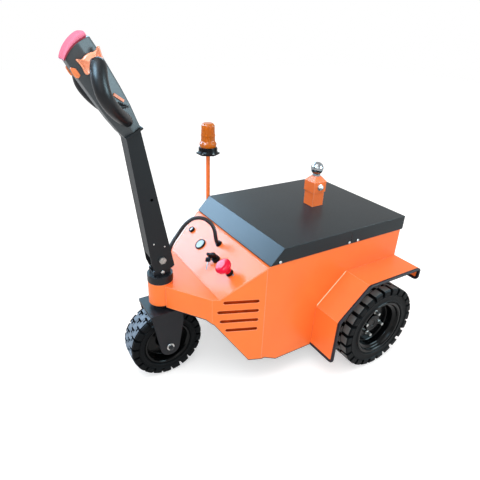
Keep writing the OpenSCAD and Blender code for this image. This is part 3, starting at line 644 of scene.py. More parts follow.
@dataclass
class Tyre:
    """A solid industrial tyre: a ringed carcass under rows of blocks, with lugs over both shoulders."""

    radius: float
    width: float
    rim: float
    pitches: int
    depth: float
    rows: tuple[TreadRow, ...]

    def pitch(self) -> float:
        """The length of one pitch round the tyre."""
        return 2 * np.pi * self.radius / self.pitches

    def carcass(self) -> Shape:
        """The section under the blocks, with two fine rings on each side wall, turned about the axle.

        Returns:
            The skin.
        """
        r, half, bed = self.radius, self.width / 2, self.radius - self.depth
        side = [(self.rim, half - 7), (self.rim + 2, half - 3), (self.rim + 4, half - 0.6),
                (self.rim + 6.5, half - 0.6), (self.rim + 8, half - 2.2), (r - 29, half - 2),
                (r - 28, half - 0.4), (r - 26, half - 0.4), (r - 24.5, half - 5), (r - 19, half - 9),
                (bed, half - 15)]
        return turned(rounded(two_sided(side), 0.8, 3), 144)

    def block(self, row: TreadRow) -> Shape:
        """A tread block with a notch in one end: a flat C of eight corners with steep walls, rolled up.

        Args:
            row: the row that it stands in.

        Returns:
            The skin.
        """
        a, w, n = self.pitch() * row.share / 2, row.width / 2, row.notch
        outline = np.array([(-a, -w), (a, -w), (a, w), (-a, w), (-a, w / 3), (-a + n, w / 3),
                            (-a + n, -w / 3), (-a, -w / 3)])
        outline = outline * (1, 1 if row.middle >= 0 else -1)
        rings = [(1.03, -self.depth - 3), (1.0, -0.8), (0.96, 0.0)]
        points = np.concatenate([np.column_stack([outline * k, np.full(8, z)]) for k, z in rings])
        i = np.arange(8)
        wall = np.stack([i, (i + 1) % 8, (i + 1) % 8 + 8, i + 8], -1)
        face = np.array([(0, 1, 6, 7), (1, 2, 5, 6), (2, 3, 4, 5)])
        block = Shape(points, np.vstack([wall, wall + 8, face[:, ::-1], face + 16]))
        return rolled(block.moved(row.shift * self.pitch(), row.middle, 0), self.radius)

    def shoulder(self, share: float, inner: float, drop: float) -> Shape:
        """A lug over the shoulder: its section, from inner to down the side wall, is run round for its share.

        Args:
            share: its share of the pitch.
            inner: where it starts, from the tyre's middle.
            drop: how far its top lies below the tyre's radius.

        Returns:
            The skin.
        """
        half = self.width / 2
        section = np.array([(inner, -self.depth - 2), (inner, -0.8 - drop), (inner + 0.8, -drop),
                            (half - 5, -drop), (half - 0.5, -4.5 - drop), (half + 0.2, -13),
                            (half + 0.2, -23), (half - 3, -25.5), (half - 12, -22)])
        s = self.pitch() * share / 2 * np.array([-1.0, -0.96, 0.0, 0.96, 1.0])
        rings = np.stack([np.column_stack([np.full(len(section), a), section]) for a in s])
        middle = section.mean(0)
        rings[[0, -1], :, 1:] = middle + (rings[[0, -1], :, 1:] - middle) * 0.95
        return rolled(lofted(rings), self.radius)

    def tread(self, inner: float, share: float, drop: float = 0.0) -> Shape:
        """All the blocks, one pitch after another, and the lugs of the far shoulder shifted by half a pitch.

        Args:
            inner: where the shoulder lugs start, from the tyre's middle.
            share: their share of the pitch.
            drop: how far their tops lie below the tyre's radius.

        Returns:
            The skin.
        """
        angles = np.arange(self.pitches) * 2 * np.pi / self.pitches
        lug = self.shoulder(share, inner, drop)
        far = Shape(lug.points * (1, 1, -1), lug.quads)
        shoulders = copies(lug, angles) + copies(far, angles + np.pi / self.pitches)
        return joined([shoulders] + [copies(self.block(row), angles) for row in self.rows])


@dataclass
class RearWheels:
    """Both driven wheels: tyre, dished rim, drum and studs, drawn on the left and mirrored."""

    radius: float = 171.0
    width: float = 88.0
    rim_r: float = 113.0
    middle_y: float = 350.0
    disc_face: float = -3.0
    disc_sheet: float = 8.0
    drum_r: float = 33.7
    drum_top: float = 7.7
    stud_circle: float = 46.0
    stud_r: float = 6.0
    stud_tip: float = 20.0
    first_stud_deg: float = 73.0

    def rim(self) -> Shape:
        """The deep bowl's section from rolled flange to disc, with round folds, turned about the axle.

        Returns:
            The skin.
        """
        r, lip, face, bore = self.rim_r, self.width / 2 - 4, self.disc_face, self.drum_r + 0.3
        back = face - self.disc_sheet
        profile = [(r, lip), (r, -lip), (r - 12, -lip), (r - 18, 6 - lip), (r - 18, back), (bore, back),
                   (bore, face), (r - 30, face), (r - 27, face + 3), (r - 25, lip - 16), (r - 20, lip - 13),
                   (r - 14, lip - 10), (r - 11, lip - 1), (r - 8, lip + 1.5), (r - 3, lip + 1.5)]
        return turned(rounded(profile, 2.5, 5), 144)

    def drum(self) -> Shape:
        """The hub drum with a shallow cap ring on its face, the flange behind the disc and the axle tube.

        Returns:
            The skin.
        """
        r, top, back = self.drum_r, self.drum_top, self.disc_face - self.disc_sheet - 0.3
        face = [(0, top - 3), (12, top - 3), (14, top - 1), (22, top - 1), (24, top), (r, top), (r, back)]
        tail = [(60, back), (60, back - 22), (26, back - 22), (26, -77), (0, -77)]
        return lathe(face + tail, 1.2, 4, 64)

    def studs(self) -> Shape:
        """Four nuts with long studs, on their circle at the source's angles.

        Returns:
            The skin.
        """
        nut = slab(circle(10, 6), 0.3, 5.3, 0.9)
        stud = slab(circle(self.stud_r, 20), 0, self.stud_tip - self.disc_face, 1.5)
        one = (nut + stud).moved(self.stud_circle, 0, self.disc_face)
        return copies(one, np.radians(self.first_stud_deg + 90 * np.arange(4)))

    def build(self) -> None:
        """Makes the pieces of each side and hides the plain solids that they stand for."""
        row = TreadRow(middle=0, width=15, share=0.6, shift=0.25, notch=9.0)
        tyre = Tyre(self.radius, self.width, self.rim_r + 0.3, pitches=24, depth=12.0, rows=(row,))
        place = outward_left((0, self.middle_y, self.radius))
        # The block tops take a finish that paints the light falling on them
        lit_tops = LitTreadTops(0, self.radius, self.radius - 1.6, Finishes.REAR_TREAD)
        parts = {"rear_tyre": (tyre.carcass() + tyre.tread(inner=9.5, share=0.7), Finishes.TYRE_RUBBER),
                 "rear_rim": (self.rim(), Finishes.RIM_ENAMEL),
                 "rear_hub": (self.drum(), Finishes.RIM_ENAMEL),
                 "rear_studs": (self.studs(), Finishes.ZINC)}
        for side in ("left", "right"):
            for name, (shape, finish) in parts.items():
                placed = shape.on(place)
                placed = placed if side == "left" else placed.mirrored()
                stands_for = "" if name == "rear_studs" else f"{name}_{side}"
                make_piece(f"{name}_{side}_dressed", placed, finish, f"rear_{side}_wheel", stands_for, 25,
                           lit_tops if name == "rear_tyre" else None)


@dataclass
class FrontWheel:
    """The steered wheel: a treaded tyre on a deep rim, and the axle through the fork."""

    radius: float = 136.0
    width: float = 98.0
    rim_r: float = 88.0
    axle_r: float = 8.0
    fork_half_w: float = 66.0

    def rim(self) -> Shape:
        """The section with rolled flanges and a hub that reaches out to the fork, turned about the axle.

        Returns:
            The skin.
        """
        r = self.rim_r
        half = [(r, 44), (r - 4, 46), (r - 8, 44.5), (r - 14, 36), (r - 16, 8), (36, 8), (30, 52), (8.05, 52)]
        return turned(rounded(two_sided(half), 2.0, 4), 144)

    def axle(self, place: Place) -> None:
        """The axle's shaft and bright washers, and black nuts and thread ends over them, outside the fork.

        Args:
            place: the wheel's middle, with Z along the axle.
        """
        side = self.fork_half_w
        shaft = slab(circle(self.axle_r, 32), -side - 3, side + 3).on(place)
        washer = slab(circle(14, 40), side + 0.3, side + 3.3, 0.8).on(place)
        steel = washer.both_sides() + shaft
        make_piece("front_axle_washers", steel, Finishes.ZINC, "steering_head", "front_axle")
        nut = hex_bolt(across=9.8, height=8, stud=4.7).on(place.at(0, 0, side + 3.3))
        make_piece("front_axle_nuts", nut.both_sides(), Finishes.BLACK_OXIDE, "steering_head", sharp_deg=25)

    def build(self) -> None:
        """Makes the tyre and rim in place of their solids, then the axle."""
        staggered = ((-23.5, 0.0), (0.0, 0.5), (23.5, 0.0))
        rows = tuple(TreadRow(y, width=22.0, share=0.84, shift=shift, notch=11.0) for y, shift in staggered)
        tyre = Tyre(self.radius, self.width, self.rim_r + 0.3, pitches=21, depth=9.0, rows=rows)
        place = outward_left((WHEELBASE, 0, self.radius))
        # The block tops take a finish that paints the light falling on them
        lit_tops = LitTreadTops(WHEELBASE, self.radius, self.radius - 1.6, Finishes.FRONT_TREAD)
        rubber = (tyre.carcass() + tyre.tread(inner=36.0, share=0.76, drop=2.0)).on(place)
        make_piece("front_tyre_dressed", rubber, Finishes.TYRE_RUBBER, "front_wheel", "front_tyre", 25, lit_tops)
        make_piece("front_rim_dressed", self.rim().on(place), Finishes.RIM_ENAMEL, "front_wheel", "front_rim")
        self.axle(place)


# Body dressing

@dataclass
class FenderTrim:
    """The rubber bead pressed over the fenders' free edge, from the body round to the body again."""

    out: float = 382.0
    inner: float = 260.0
    bead_w: float = 9.5
    bead_d: float = 12.0
    free_corner: float = 17.0
    fold: float = 8.0

    def bead(self) -> Shape:
        """A round-cornered section along the edge; path and sheet normal swing together in each fold.

        Returns:
            The skin.
        """
        y, w, round_r, fold = self.out, self.inner, self.free_corner, self.fold
        corners = np.array([(220, w, 88), (220, y, 88), (215.5, y, 264.5), (87.5, y, 380), (-175, y, 380),
                            (-175, y, 334), (-175, w, 334)], float)
        normals = np.array([(1, 0, 0), (1, 0, 0.03), (0.671, 0, 0.741), (0, 0, 1), (-1, 0, 0), (-1, 0, 0)])
        steps = 7
        path = rounded(corners, [fold, round_r, fold, fold, fold, round_r, fold], steps, closed=False)
        t = np.linspace(0, 1, steps)[None, :, None]
        blend = (1 - t) * normals[:-1, None] + t * normals[1:, None]
        normal = unit(np.vstack([normals[:1], blend.reshape(-1, 3), normals[-1:]]))
        half_w, back = self.bead_w / 2, 4 - self.bead_d
        section = rounded([(4, -half_w), (4, half_w), (back, half_w - 1), (back, 1 - half_w)], 3.4, 4)
        return swept(path, section, normal)

    def build(self) -> None:
        """Makes both beads as one piece."""
        beads = self.bead().both_sides()
        make_piece("fender_edge_beads", beads, Finishes.TRIM_RUBBER, stands_for="fender_trims")


@dataclass
class BodyFixings:
    """Small screws in the lid's skirt, and a thin pale bead of painted highlight along the joint between each
    fender's slope and the body.
    """

    skirt_y: float = 262.3
    body_y: float = 260.0
    screw_x: tuple[float, ...] = (408.0, 102.0, 60.0)
    screw_z: float = 505.0
    seam_top: tuple[float, float] = (90, 379)
    seam_foot: tuple[float, float] = (214, 267)

    def build(self) -> None:
        """Makes the screws along the lower edge of the skirt and the thin round bead, both sides."""
        screw = slab(circle(5.5, 20), 0, 3, 1.2)
        heads = joined(screw.on(outward_left((x, self.skirt_y, self.screw_z))) for x in self.screw_x)
        make_piece("skirt_screws", heads.both_sides(), Finishes.ZINC)
        # The pale bead is a painted highlight along the joint
        top, foot = ((x, self.body_y, z) for x, z in (self.seam_top, self.seam_foot))
        line = np.linspace(top, foot, 12)
        seam = swept(line, circle(1.8, 10), (0, 1, 0))
        make_piece("fender_joint_highlight", seam.both_sides(), Finishes.JOINT_HIGHLIGHT)


@dataclass
class VentTrays:
    """The shallow tray behind each vent plate, coated a dark red-brown as painted shade that shows through
    the slots.
    """

    crease_x: float = 453.0
    body_y: float = 259.0
    turn: float = 22.4
    wall: float = 2.0
    lip: float = -3.2
    inner_floor: float = -12.5
    outer_floor: float = -14.0

    def tray(self) -> Shape:
        """Rings round one outline: inner floor, both rims and outer floor; the floors close in the middle.

        Returns:
            The skin.
        """
        outline = np.array([(10, 236), (132, 236), (160, 300), (160, 376), (10, 376)], float)
        rows = [(self.wall, self.inner_floor), (self.wall, self.lip), (0, self.lip), (0, self.outer_floor)]
        return lofted(stacked(outline, rows))

    def build(self) -> None:
        """Makes both trays as one piece."""
        c, s = cos_sin(self.turn)
        plate = Place((self.crease_x, self.body_y, 0), (c, -s, 0), (0, 0, 1), (s, c, 0))
        # The trays' red-brown is painted shade behind the slots
        make_piece("vent_trays", self.tray().on(plate).both_sides(), Finishes.VENT_SHADE_COAT)


@dataclass
class Hitch:
    """The tow ball on its neck and the zinc cross bolt."""

    x: float = 57.0
    ball_z: float = 701.0
    ball_r: float = 25.0
    cap_z: float = 672.0
    post_half_w: float = 30.2
    bolt_z: float = 631.0

    def build(self) -> None:
        """Ball, neck and nut turned in one section, and a bolt with washers through the post."""
        a = np.linspace(np.pi / 2, -0.36 * np.pi, 28)
        ball = np.column_stack([np.cos(a), np.sin(a)]) * self.ball_r + (0, self.ball_z)
        top = self.cap_z
        neck = [(11, self.ball_z - 24), (11, top + 8), (15, top + 7), (16, top + 0.2), (0, top + 0.2)]
        knob = turned(np.vstack([ball, neck]), 64, closed=False).on(Place((self.x, 0, 0)))
        make_piece("tow_ball_dressed", knob, Finishes.CHROME, stands_for="tow_ball")
        bolt = hex_bolt(across=11, height=9, washer=13, stud=4)
        head = bolt.on(outward_left((self.x, self.post_half_w, self.bolt_z)))
        shank = slab(circle(6, 24), -31, 31).on(outward_left((self.x, 0, self.bolt_z)))
        make_piece("hitch_bolt_dressed", head.both_sides() + shank, Finishes.ZINC, stands_for="hitch_bolt")


@dataclass
class Beacon:
    """The warning light: a ribbed black base and a fluted amber lens with the lamp inside."""

    x: float = 392.0
    y: float = -278.0
    low: float = 726.0
    base_h: float = 28.0
    foot_r: float = 48.0
    foot_turn: float = 33.0
    screw_circle: float = 41.0

    def base(self) -> Shape:
        """A six-cornered foot under a drum that flares out to it, with upright ribs round the drum.

        Returns:
            The skin.
        """
        c, s = cos_sin(self.foot_turn)
        foot = slab(rounded(circle(self.foot_r, 6) @ np.array([(c, s), (-s, c)]), 5.0, 4), 0, 6, 1.0)
        drum = lathe([(0, 1), (40, 1), (40, 7), (36, 14), (35, self.base_h), (0, self.base_h)], 1.5, 4, 64)
        rib = slab(rectangle(33, -1.5, 37.4, 1.5), 6, self.base_h - 2, 0.5)
        return foot + drum + copies(rib, np.radians(30 * np.arange(12)))

    def lens(self) -> Shape:
        """A wide skirt, a shoulder and a fluted tower with a bead at mid height and a stepped crown, turned.

        Between the shoulder and the crown, 16 flutes swing the radius by 1.6 |cos 8a|.

        Returns:
            The skin.
        """
        z = np.array([0, 2, 14, 16, 21, 24, 34, 42, 43, 48, 49, 60, 72, 84, 86, 90, 92, 92])
        r = np.array([32, 33, 34, 33, 29, 28, 27.7, 27.4, 28.9, 28.7, 27.2, 26.8, 26.4, 26, 24.5, 21.5,
                      20, 0])
        flute = np.where((z > 23) & (z < 85), 1.6, 0.0)
        a = np.linspace(0, 2 * np.pi, 144, endpoint=False)[:, None]
        radius = r + flute * np.abs(np.cos(8 * a)) - flute
        points = np.stack([radius * np.cos(a), radius * np.sin(a), np.broadcast_to(z, radius.shape)], -1)
        return grid(np.concatenate([np.zeros_like(points[:, :1]), points], 1), loop_rows=True)

    def lamp(self) -> Shape:
        """The lamp behind the lens: a foot, a narrow neck and a bulb with a flat top, turned."""
        profile = [(0, 1), (22, 1), (22, 12), (9, 16), (9, 34), (17, 40), (17, 70), (10, 78), (0, 78)]
        return lathe(profile, 3, 4, 48)

    def build(self) -> None:
        """Makes base, lens, lamp and the screws at the corners of the foot."""
        place = Place((self.x, self.y, self.low))
        top = place.at(0, 0, self.base_h)
        base = self.base().on(place)
        make_piece("beacon_base_dressed", base, Finishes.BLACK_PLASTIC, stands_for="beacon_base")
        make_piece("beacon_lens_dressed", self.lens().on(top), Finishes.AMBER, stands_for="beacon_lens")
        make_piece("beacon_lamp", self.lamp().on(top.at(0, 0, 0.2)), Finishes.LAMP)
        screw = slab(circle(3.6, 16), 6, 8, 0.6).moved(self.screw_circle, 0, 0)
        screws = copies(screw, np.radians(self.foot_turn + 60 * np.arange(6)))
        make_piece("beacon_foot_screws", screws.on(place), Finishes.ZINC)


@dataclass
class Panel:
    """The controls on the sloping panel, and the cable that leaves it for the tiller head."""

    crease_x: float = 453.0
    crease_z: float = 492.0
    tilt: float = 37.626
    cable_r: float = 7.0
    gland_at: tuple[float, float] = (42, -8)
    gauge_at: tuple[float, float] = (89, -84)
    key_at: tuple[float, float] = (91, 46)
    stop_at: tuple[float, float] = (94, 146)
    screw_at: tuple[float, float] = (91, 165)
    socket_at: tuple[float, float] = (69, -190)

    def spot(self, at: tuple[float, float], out: float = 0.3) -> Place:
        """The frame on the panel at a place down the slope and across, with Z out of it."""
        return leaning((self.crease_x, 0, self.crease_z), self.tilt).at(*at, out)

    def route(self) -> Array:
        """The cable's route, as in the part's source, smoothed between its points.

        Returns:
            The points along it.
        """
        gland = self.spot(self.gland_at, 0)
        points = [gland.of((0, 0, 9.6)), gland.of((0, 0, 17.0)), (499, -11, 496), (500, -13, 511),
                  (502, -18, 527), (508, -27, 543), (518, -38, 554), (530, -48, 561), (544, -57, 563),
                  (560, -67, 559), (574, -74, 549), (588, -80, 535), (602, -83, 517), (616, -84, 499),
                  (632, -81, 483), (646, -77, 465), (656, -74, 445), (663, -72, 424), (667, -70.5, 406),
                  (668, -70, 398), (668, -70, 390.6)]
        return smooth_line(points, 3)

    def cable(self) -> None:
        """A round sheath along the route, which goes back into the tug."""
        path = self.route()
        shape = swept(path, circle(self.cable_r, 20), (0, 1, 0))
        made = make_piece("control_cable_sheath", shape, Finishes.SHEATH, stands_for="control_cable")

    def gauge(self) -> None:
        """A black bezel with a raised lip, a sunk pale dial and a few fine ticks."""
        place = self.spot(self.gauge_at)
        bezel = lathe([(0, 0), (22, 0), (22, 5), (20.5, 6), (17.5, 6), (17, 4), (0, 4)], 0.8, 3, 64)
        make_piece("charge_gauge_bezel", bezel.on(place), Finishes.BLACK_PLASTIC, stands_for="charge_gauge")
        dial = turned([(0, 4.05), (17, 4.05), (17, 4.6), (0, 4.6)], 48, False)
        make_piece("charge_gauge_dial", dial.on(place), Finishes.DIAL)
        ticks = copies(slab(rectangle(13, -0.4, 15, 0.4), 4.55, 4.8), np.radians(np.linspace(120, 240, 7)))
        make_piece("charge_gauge_marks", ticks.on(place), Finishes.BLACK_PLASTIC)

    def key(self) -> None:
        """The lock's black barrel and the key in it, whose bow stands turned on the slope."""
        place = self.spot(self.key_at)
        barrel = lathe([(0, 0), (15, 0), (15, 3), (14.5, 4), (14, 14), (0, 14)], 0.8, 3, 48)
        outline = rounded([(-13, 16), (13, 16), (17, 36), (7, 41), (-7, 37), (-19, 42)], 5, 5)
        bow = slab(outline, -5.5, 5.5, 2.5)
        down, left = np.array(place.x), np.array(place.y)
        across, through = tuple(0.85 * left - 0.53 * down), tuple(0.85 * down + 0.53 * left)
        upright = Place(place.origin, across, place.z, through)
        make_piece("key_and_barrel", barrel.on(place) + bow.on(upright), Finishes.BLACK_PLASTIC,
                   stands_for="key_switch")
        make_piece("key_blade", slab(rectangle(-4, 13, 4, 18), -1, 1, 0.3).on(upright), Finishes.ZINC)

    def spare_key(self) -> None:
        """A second key on a link, which hangs down the slope from the first."""
        place = self.spot(self.key_at)
        way = place.of(unit(np.array([0.8, 0.53, -0.28]))) - place.origin
        across = unit(np.cross(place.z, way))
        hung = Place(tuple(place.of((21, -13, 17))), tuple(across), tuple(way), tuple(np.cross(across, way)))
        bow = slab(rounded([(-9, -9), (9, -9), (10, 8), (-10, 8)], 4, 4), -4, 4, 1.5)
        link = slab(rectangle(-2, -26, 2, -8), -1.2, 1.2, 0.5)
        blade = slab(np.array([(-2.6, 6), (2.6, 6), (2, 36), (-2, 36)], float), -1, 1, 0.3)
        make_piece("spare_key_bow", (bow + link).on(hung), Finishes.BLACK_PLASTIC)
        make_piece("spare_key_blade", blade.on(hung), Finishes.ZINC)

    def stop(self) -> None:
        """The emergency stop: a black collar, a flared neck and a wide mushroom knob, turned."""
        place = self.spot(self.stop_at)
        collar = lathe([(0, 0), (14, 0), (14, 3), (12, 4), (12, 14), (0, 14)], 1.0, 4, 48)
        knob = lathe([(0, 13.9), (14, 13.9), (14.5, 20), (21, 30), (27, 37), (29, 43), (29, 48), (24, 54),
                      (12, 55.5), (0, 55.5)], 3, 5, 64)
        make_piece("stop_collar", collar.on(place), Finishes.BLACK_PLASTIC, stands_for="stop_button")
        make_piece("stop_knob", knob.on(place), Finishes.RED_PLASTIC)
        screw = slab(circle(4, 20), 0, 2.5, 0.8)
        make_piece("panel_screw", screw.on(self.spot(self.screw_at)), Finishes.ZINC)

    def socket(self) -> None:
        """The charge socket: a black ring with a bar across its sunk face."""
        place = self.spot(self.socket_at)
        ring = lathe([(0, 0), (12, 0), (12, 8), (11, 9), (9, 9), (8.5, 6), (0, 6)], 0.5, 3, 40)
        make_piece("charge_socket_dressed", ring.on(place), Finishes.BLACK_PLASTIC,
                   stands_for="charge_socket")
        bar = slab(rectangle(-7, -1.5, 7, 1.5), 5.5, 8, 0.4)
        make_piece("charge_socket_bar", bar.on(place), Finishes.ZINC)

    def build(self) -> None:
        """Makes the cable first, then the fittings."""
        self.cable()
        self.gauge()
        self.key()
        self.spare_key()
        self.stop()
        self.socket()


# Tiller

@dataclass
class ArmFixings:
    """The flat bolt low in the clevis and the two small screws in each side of the arm."""

    clevis_y: float = 24.5
    arm_y: float = 30.0

    def build(self) -> None:
        """Makes both sides of each."""
        bolt = slab(circle(6.5, 24), 0, 3, 1.0).on(outward_left((WHEELBASE - 1, self.clevis_y, 429)))
        make_piece("clevis_bolts", bolt.both_sides(), Finishes.ZINC, "steering_head")
        screw = slab(circle(2.6, 16), 0, 1.5, 0.5)
        spots = ((747.5, 543.6), (711.2, 527.5))
        screws = joined(screw.on(outward_left((x, self.arm_y, z))) for x, z in spots)
        make_piece("arm_screws", screws.both_sides(), Finishes.ZINC, "tiller")


@dataclass
class Head:
    """The control head: faceted housing, closed grips, butterfly throttles and the belly pad."""

    place: Place
    end_r: float = 107.0
    end_x: float = -16.0
    end_z: float = 150.0
    hub_x: float = -9.0
    hub_z: float = 207.0
    pad_half_w: float = 34.0
    pad_arc_r: float = 105.0
    pad_arc_x: float = -27.0
    pad_arc_z: float = 169.0
    recess_depth: float = 8.0
    recess_edge: float = 3.0
    hub_y: float = 34.0
    wing_y: float = 39.0

    def section_at(self, z: Any) -> Array:
        """The back, ridge and front of the housing, then their half widths, between its table's rows.

        Args:
            z: the heights, (n,).

        Returns:
            The six measures at each height, (n, 6).
        """
        table = np.array([[0, -31, -2, 25, 22, 30, 22], [20, -33, -2, 30, 23, 32, 23],
                          [66, -39, -2, 36, 24, 36, 25], [120, -41.5, -3, 39, 24, 38, 26],
                          [210, -42, -4, 43, 25, 38, 28], [262, -39, -2, 43, 24, 37, 27]])
        return np.stack([np.interp(z, table[:, 0], table[:, k]) for k in range(1, 7)], -1)

    def ring(self, z: Array, per_side: int = 10) -> Array:
        """Points round the six-sided section at each height, with corners rounded by the mean of near points.

        Args:
            z: the heights, (n,).
            per_side: points along each side.

        Returns:
            The rings, (n, points, 2).
        """
        back, ridge, front, wb, wr, wf = self.section_at(z).T
        right = [(back, -wb), (ridge, -wr), (front, -wf)]
        left = [(x, -y) for x, y in reversed(right)]
        corners = np.stack([np.stack(corner, -1) for corner in right + left], 1)
        t = np.linspace(0, 1, per_side, endpoint=False)[None, None, :, None]
        points = corners[:, :, None] * (1 - t) + np.roll(corners, -1, 1)[:, :, None] * t
        points = points.reshape(len(z), -1, 2)
        return (np.roll(points, 1, 1) + 2 * points + np.roll(points, -1, 1)) / 4

    def housing(self) -> Shape:
        """Rings up to the round end: the height of each point is its share of the end's arc over it.

        Returns:
            The skin.
        """
        share = np.linspace(0, 1, 90)
        flat = self.ring(share * 255)

        def top(x: Array) -> Array:
            """Height of the round end over x."""
            return self.end_z + np.sqrt(np.maximum(self.end_r ** 2 - (x - self.end_x) ** 2, 0))

        walls = np.concatenate([flat, (share[:, None] * top(flat[..., 0]))[..., None]], -1)
        middle = walls[-1, :, :2].mean(0)
        lid = middle + (walls[-1, :, :2] - middle) * np.linspace(0.96, 0, 9)[:, None, None]
        cap = np.concatenate([lid, top(lid[..., 0])[..., None]], -1)
        base = np.broadcast_to(np.append(walls[0, :, :2].mean(0), 0), (1,) + walls.shape[1:])
        return self.recess(grid(np.concatenate([base, walls, cap]), loop_columns=True))

    def recess(self, skin: Shape) -> Shape:
        """Sinks a triangle in each back facet: the depth grows evenly from its edges, then stays.

        Args:
            skin: the housing.

        Returns:
            The skin with both triangles sunk.
        """
        s = self.section_at(np.array([80.0]))[0]
        start, end = s[[0, 3]], s[[1, 4]]
        along = unit(end - start)
        normal = np.array([-along[1], along[0]])
        x, y, z = skin.points.T
        flat = np.stack([x, np.abs(y)], -1) - start
        u, away = flat @ along, flat @ normal
        corners = np.array([(31, 72), (33, 94), (7, 63)], float)
        edge = unit(np.roll(corners, -1, 0) - corners)
        inner = np.stack([-edge[:, 1], edge[:, 0]], -1)
        gap = ((np.stack([u, z], -1)[:, None] - corners) * inner).sum(-1).min(1)
        depth = self.recess_depth * np.clip(gap / self.recess_edge, 0, 1) * (np.abs(away) < 4)
        move = np.stack([-normal[0] * depth, -normal[1] * depth * np.sign(y), np.zeros_like(z)], -1)
        return Shape(skin.points + move, skin.quads)

    def grip(self) -> Shape:
        """A round bar through rows of a point and its radius, with its end drawn in like a thumb.

        Returns:
            The skin.
        """
        rows = [[-6, 16, 26, 12], [-5, 32, 36, 15], [-1, 46, 48, 17], [8, 67, 66, 18], [17, 88, 90, 18.5],
                [23, 106, 118, 19], [23, 116, 146, 19.5], [14, 112, 172, 20], [3, 102, 189, 20.5],
                [-7, 91, 200, 20], [-13, 83, 206, 16.5], [-16, 78, 208.5, 10], [-17, 76.5, 209.3, 3]]
        line = smooth_line(rows, 6)
        return swept(line[:, :3], circle(line[:, 3], 32), (1, 0, 0.3))

    def throttle(self) -> Shape:
        """Butterfly wing: four tips round a middle boss, the upper two as ears with notches beside the boss.

        At share k of the outline the face falls from 17 mm at the middle to 7.5 mm at the edge, and
        within 0.4 < k < 0.9 it is sunk by up to 7 mm on the two sides, where |cos a| is near 1.

        Returns:
            The skin.
        """
        outline = rounded([(33, -20), (29, 3), (34, 26), (20, 15), (8, 20), (-6, 20), (-20, 15), (-36, 27),
                           (-28, 0), (-22, -29), (4, -18)], 9.0, 6)
        side = np.clip((np.abs(outline[:, 0]) / np.linalg.norm(outline, axis=1) - 0.76) / 0.16, 0, 1)
        k = np.array([0, 0.3, 0.4, 0.5, 0.6, 0.74, 0.84, 0.9, 0.97, 1.0])
        fall = np.array([17, 16.6, 15, 13.8, 12.8, 11.8, 11, 10.4, 9, 7.5])
        sunk = np.array([0, 0, 0.3, 0.9, 1.0, 1.0, 0.7, 0.1, 0, 0])
        faces = k[:, None, None] * outline
        top = np.concatenate([faces, (fall[:, None] - 7 * sunk[:, None] * side)[..., None]], -1)
        under = np.concatenate([faces[[-1, -2, 0]], np.zeros((3, len(outline), 1))], -1)
        under[0, :, 2] = 1.0
        return grid(np.concatenate([top, under]), loop_columns=True)

    def front_button(self) -> Shape:
        """An eight-sided button let into the front facet where it turns the corner to the front face.

        Returns:
            The skin.
        """
        s = self.section_at(np.array([200.0]))[0]
        ridge, front = s[[1, 4]], s[[2, 5]]
        along = unit(front - ridge)
        outline = rounded([(37, 193), (45, 188.5), (51, 193), (52, 202), (51, 215), (48, 219), (43, 215),
                           (38, 211)], 2.0, 3)
        facet = Place((*ridge, 0), (*along, 0), (0, 0, 1), (-along[1], along[0], 0))
        return slab(outline, -2.5, 2.8, 1.0).on(facet)

    def pad(self) -> Shape:
        """The pad bends round the head's end: along the arc a round-cornered section joins inner to outer.

        Returns:
            The skin.
        """
        x = np.linspace(-32, 46.5, 40)
        inner = np.stack([x, self.end_z + np.sqrt((self.end_r + 0.3) ** 2 - (x - self.end_x) ** 2)], -1)
        outer = np.stack([x, self.pad_arc_z + np.sqrt(self.pad_arc_r ** 2 - (x - self.pad_arc_x) ** 2)], -1)
        section = rounded([(0, -1), (1, -1), (1, 1), (0, 1)], 0.42, 7)
        swell = np.clip(1 - ((x - 7) / 46) ** 8, 0.05, 1)[:, None]
        reach = (section[:, 0] - 0.5) * swell
        rings = ((inner + outer) / 2)[:, None] + reach[..., None] * (outer - inner)[:, None]
        y = np.broadcast_to(section[:, 1] * self.pad_half_w, reach.shape)
        return lofted(np.stack([rings[..., 0], y, rings[..., 1]], -1))

    def seam(self) -> Shape:
        """A thin strip over the head's round end, a little wider than the pad above it.

        Returns:
            The skin.
        """
        a = np.linspace(np.radians(97), np.radians(55), 48)
        path = np.stack([self.end_x + self.end_r * np.cos(a), 0 * a, self.end_z + self.end_r * np.sin(a)], -1)
        section = np.array([(0.4, -1), (0.4, 1), (3.6, 1), (3.6, -1)]) * (1, self.pad_half_w + 0.7)
        return swept(path, section, (0, 1, 0))

    def at_hub(self, y: float) -> Vector:
        """The point on the throttles' axis at a distance y to the left."""
        return tuple(self.place.of((self.hub_x, y, self.hub_z)))

    def build(self) -> None:
        """Makes the head's pieces in place of their solids."""
        put = self.place
        across = Place(self.at_hub(self.hub_y), put.x, tuple(-np.array(put.z)), put.y)
        wing = Place(self.at_hub(self.wing_y), put.x, put.z, put.y)
        hub = lathe([(0, 0), (9, 0), (9, 42), (0, 42)], 1, 3, 32)
        button = self.front_button().on(put)
        for name, shape, finish, stands_for, sharp_deg in (
                ("head_shell", self.housing().on(put), Finishes.HEAD_PLASTIC, "head_housing", 24),
                ("head_grips", self.grip().on(put).both_sides(), Finishes.GRIP_PLASTIC, "", 35),
                ("head_front_buttons", button.both_sides(), Finishes.ORANGE_PLASTIC, "", 35),
                ("throttle_hubs", hub.on(across).both_sides(), Finishes.GRIP_PLASTIC, "", 35),
                # The wings' paler orange is painted light
                ("throttle_wings", self.throttle().on(wing).both_sides(), Finishes.LIT_THROTTLE_PLASTIC,
                 "throttles", 50),
                # The strip under the pad is painted shade of the gap
                ("pad_gap_shade_strip", self.seam().on(put), Finishes.PAD_GAP_SHADE, "", 35),
                ("belly_pad", self.pad().on(put), Finishes.PINK_PAD, "belly_switch", 60)):
            make_piece(name, shape, finish, "tiller", stands_for, sharp_deg)


# What the solids are made of

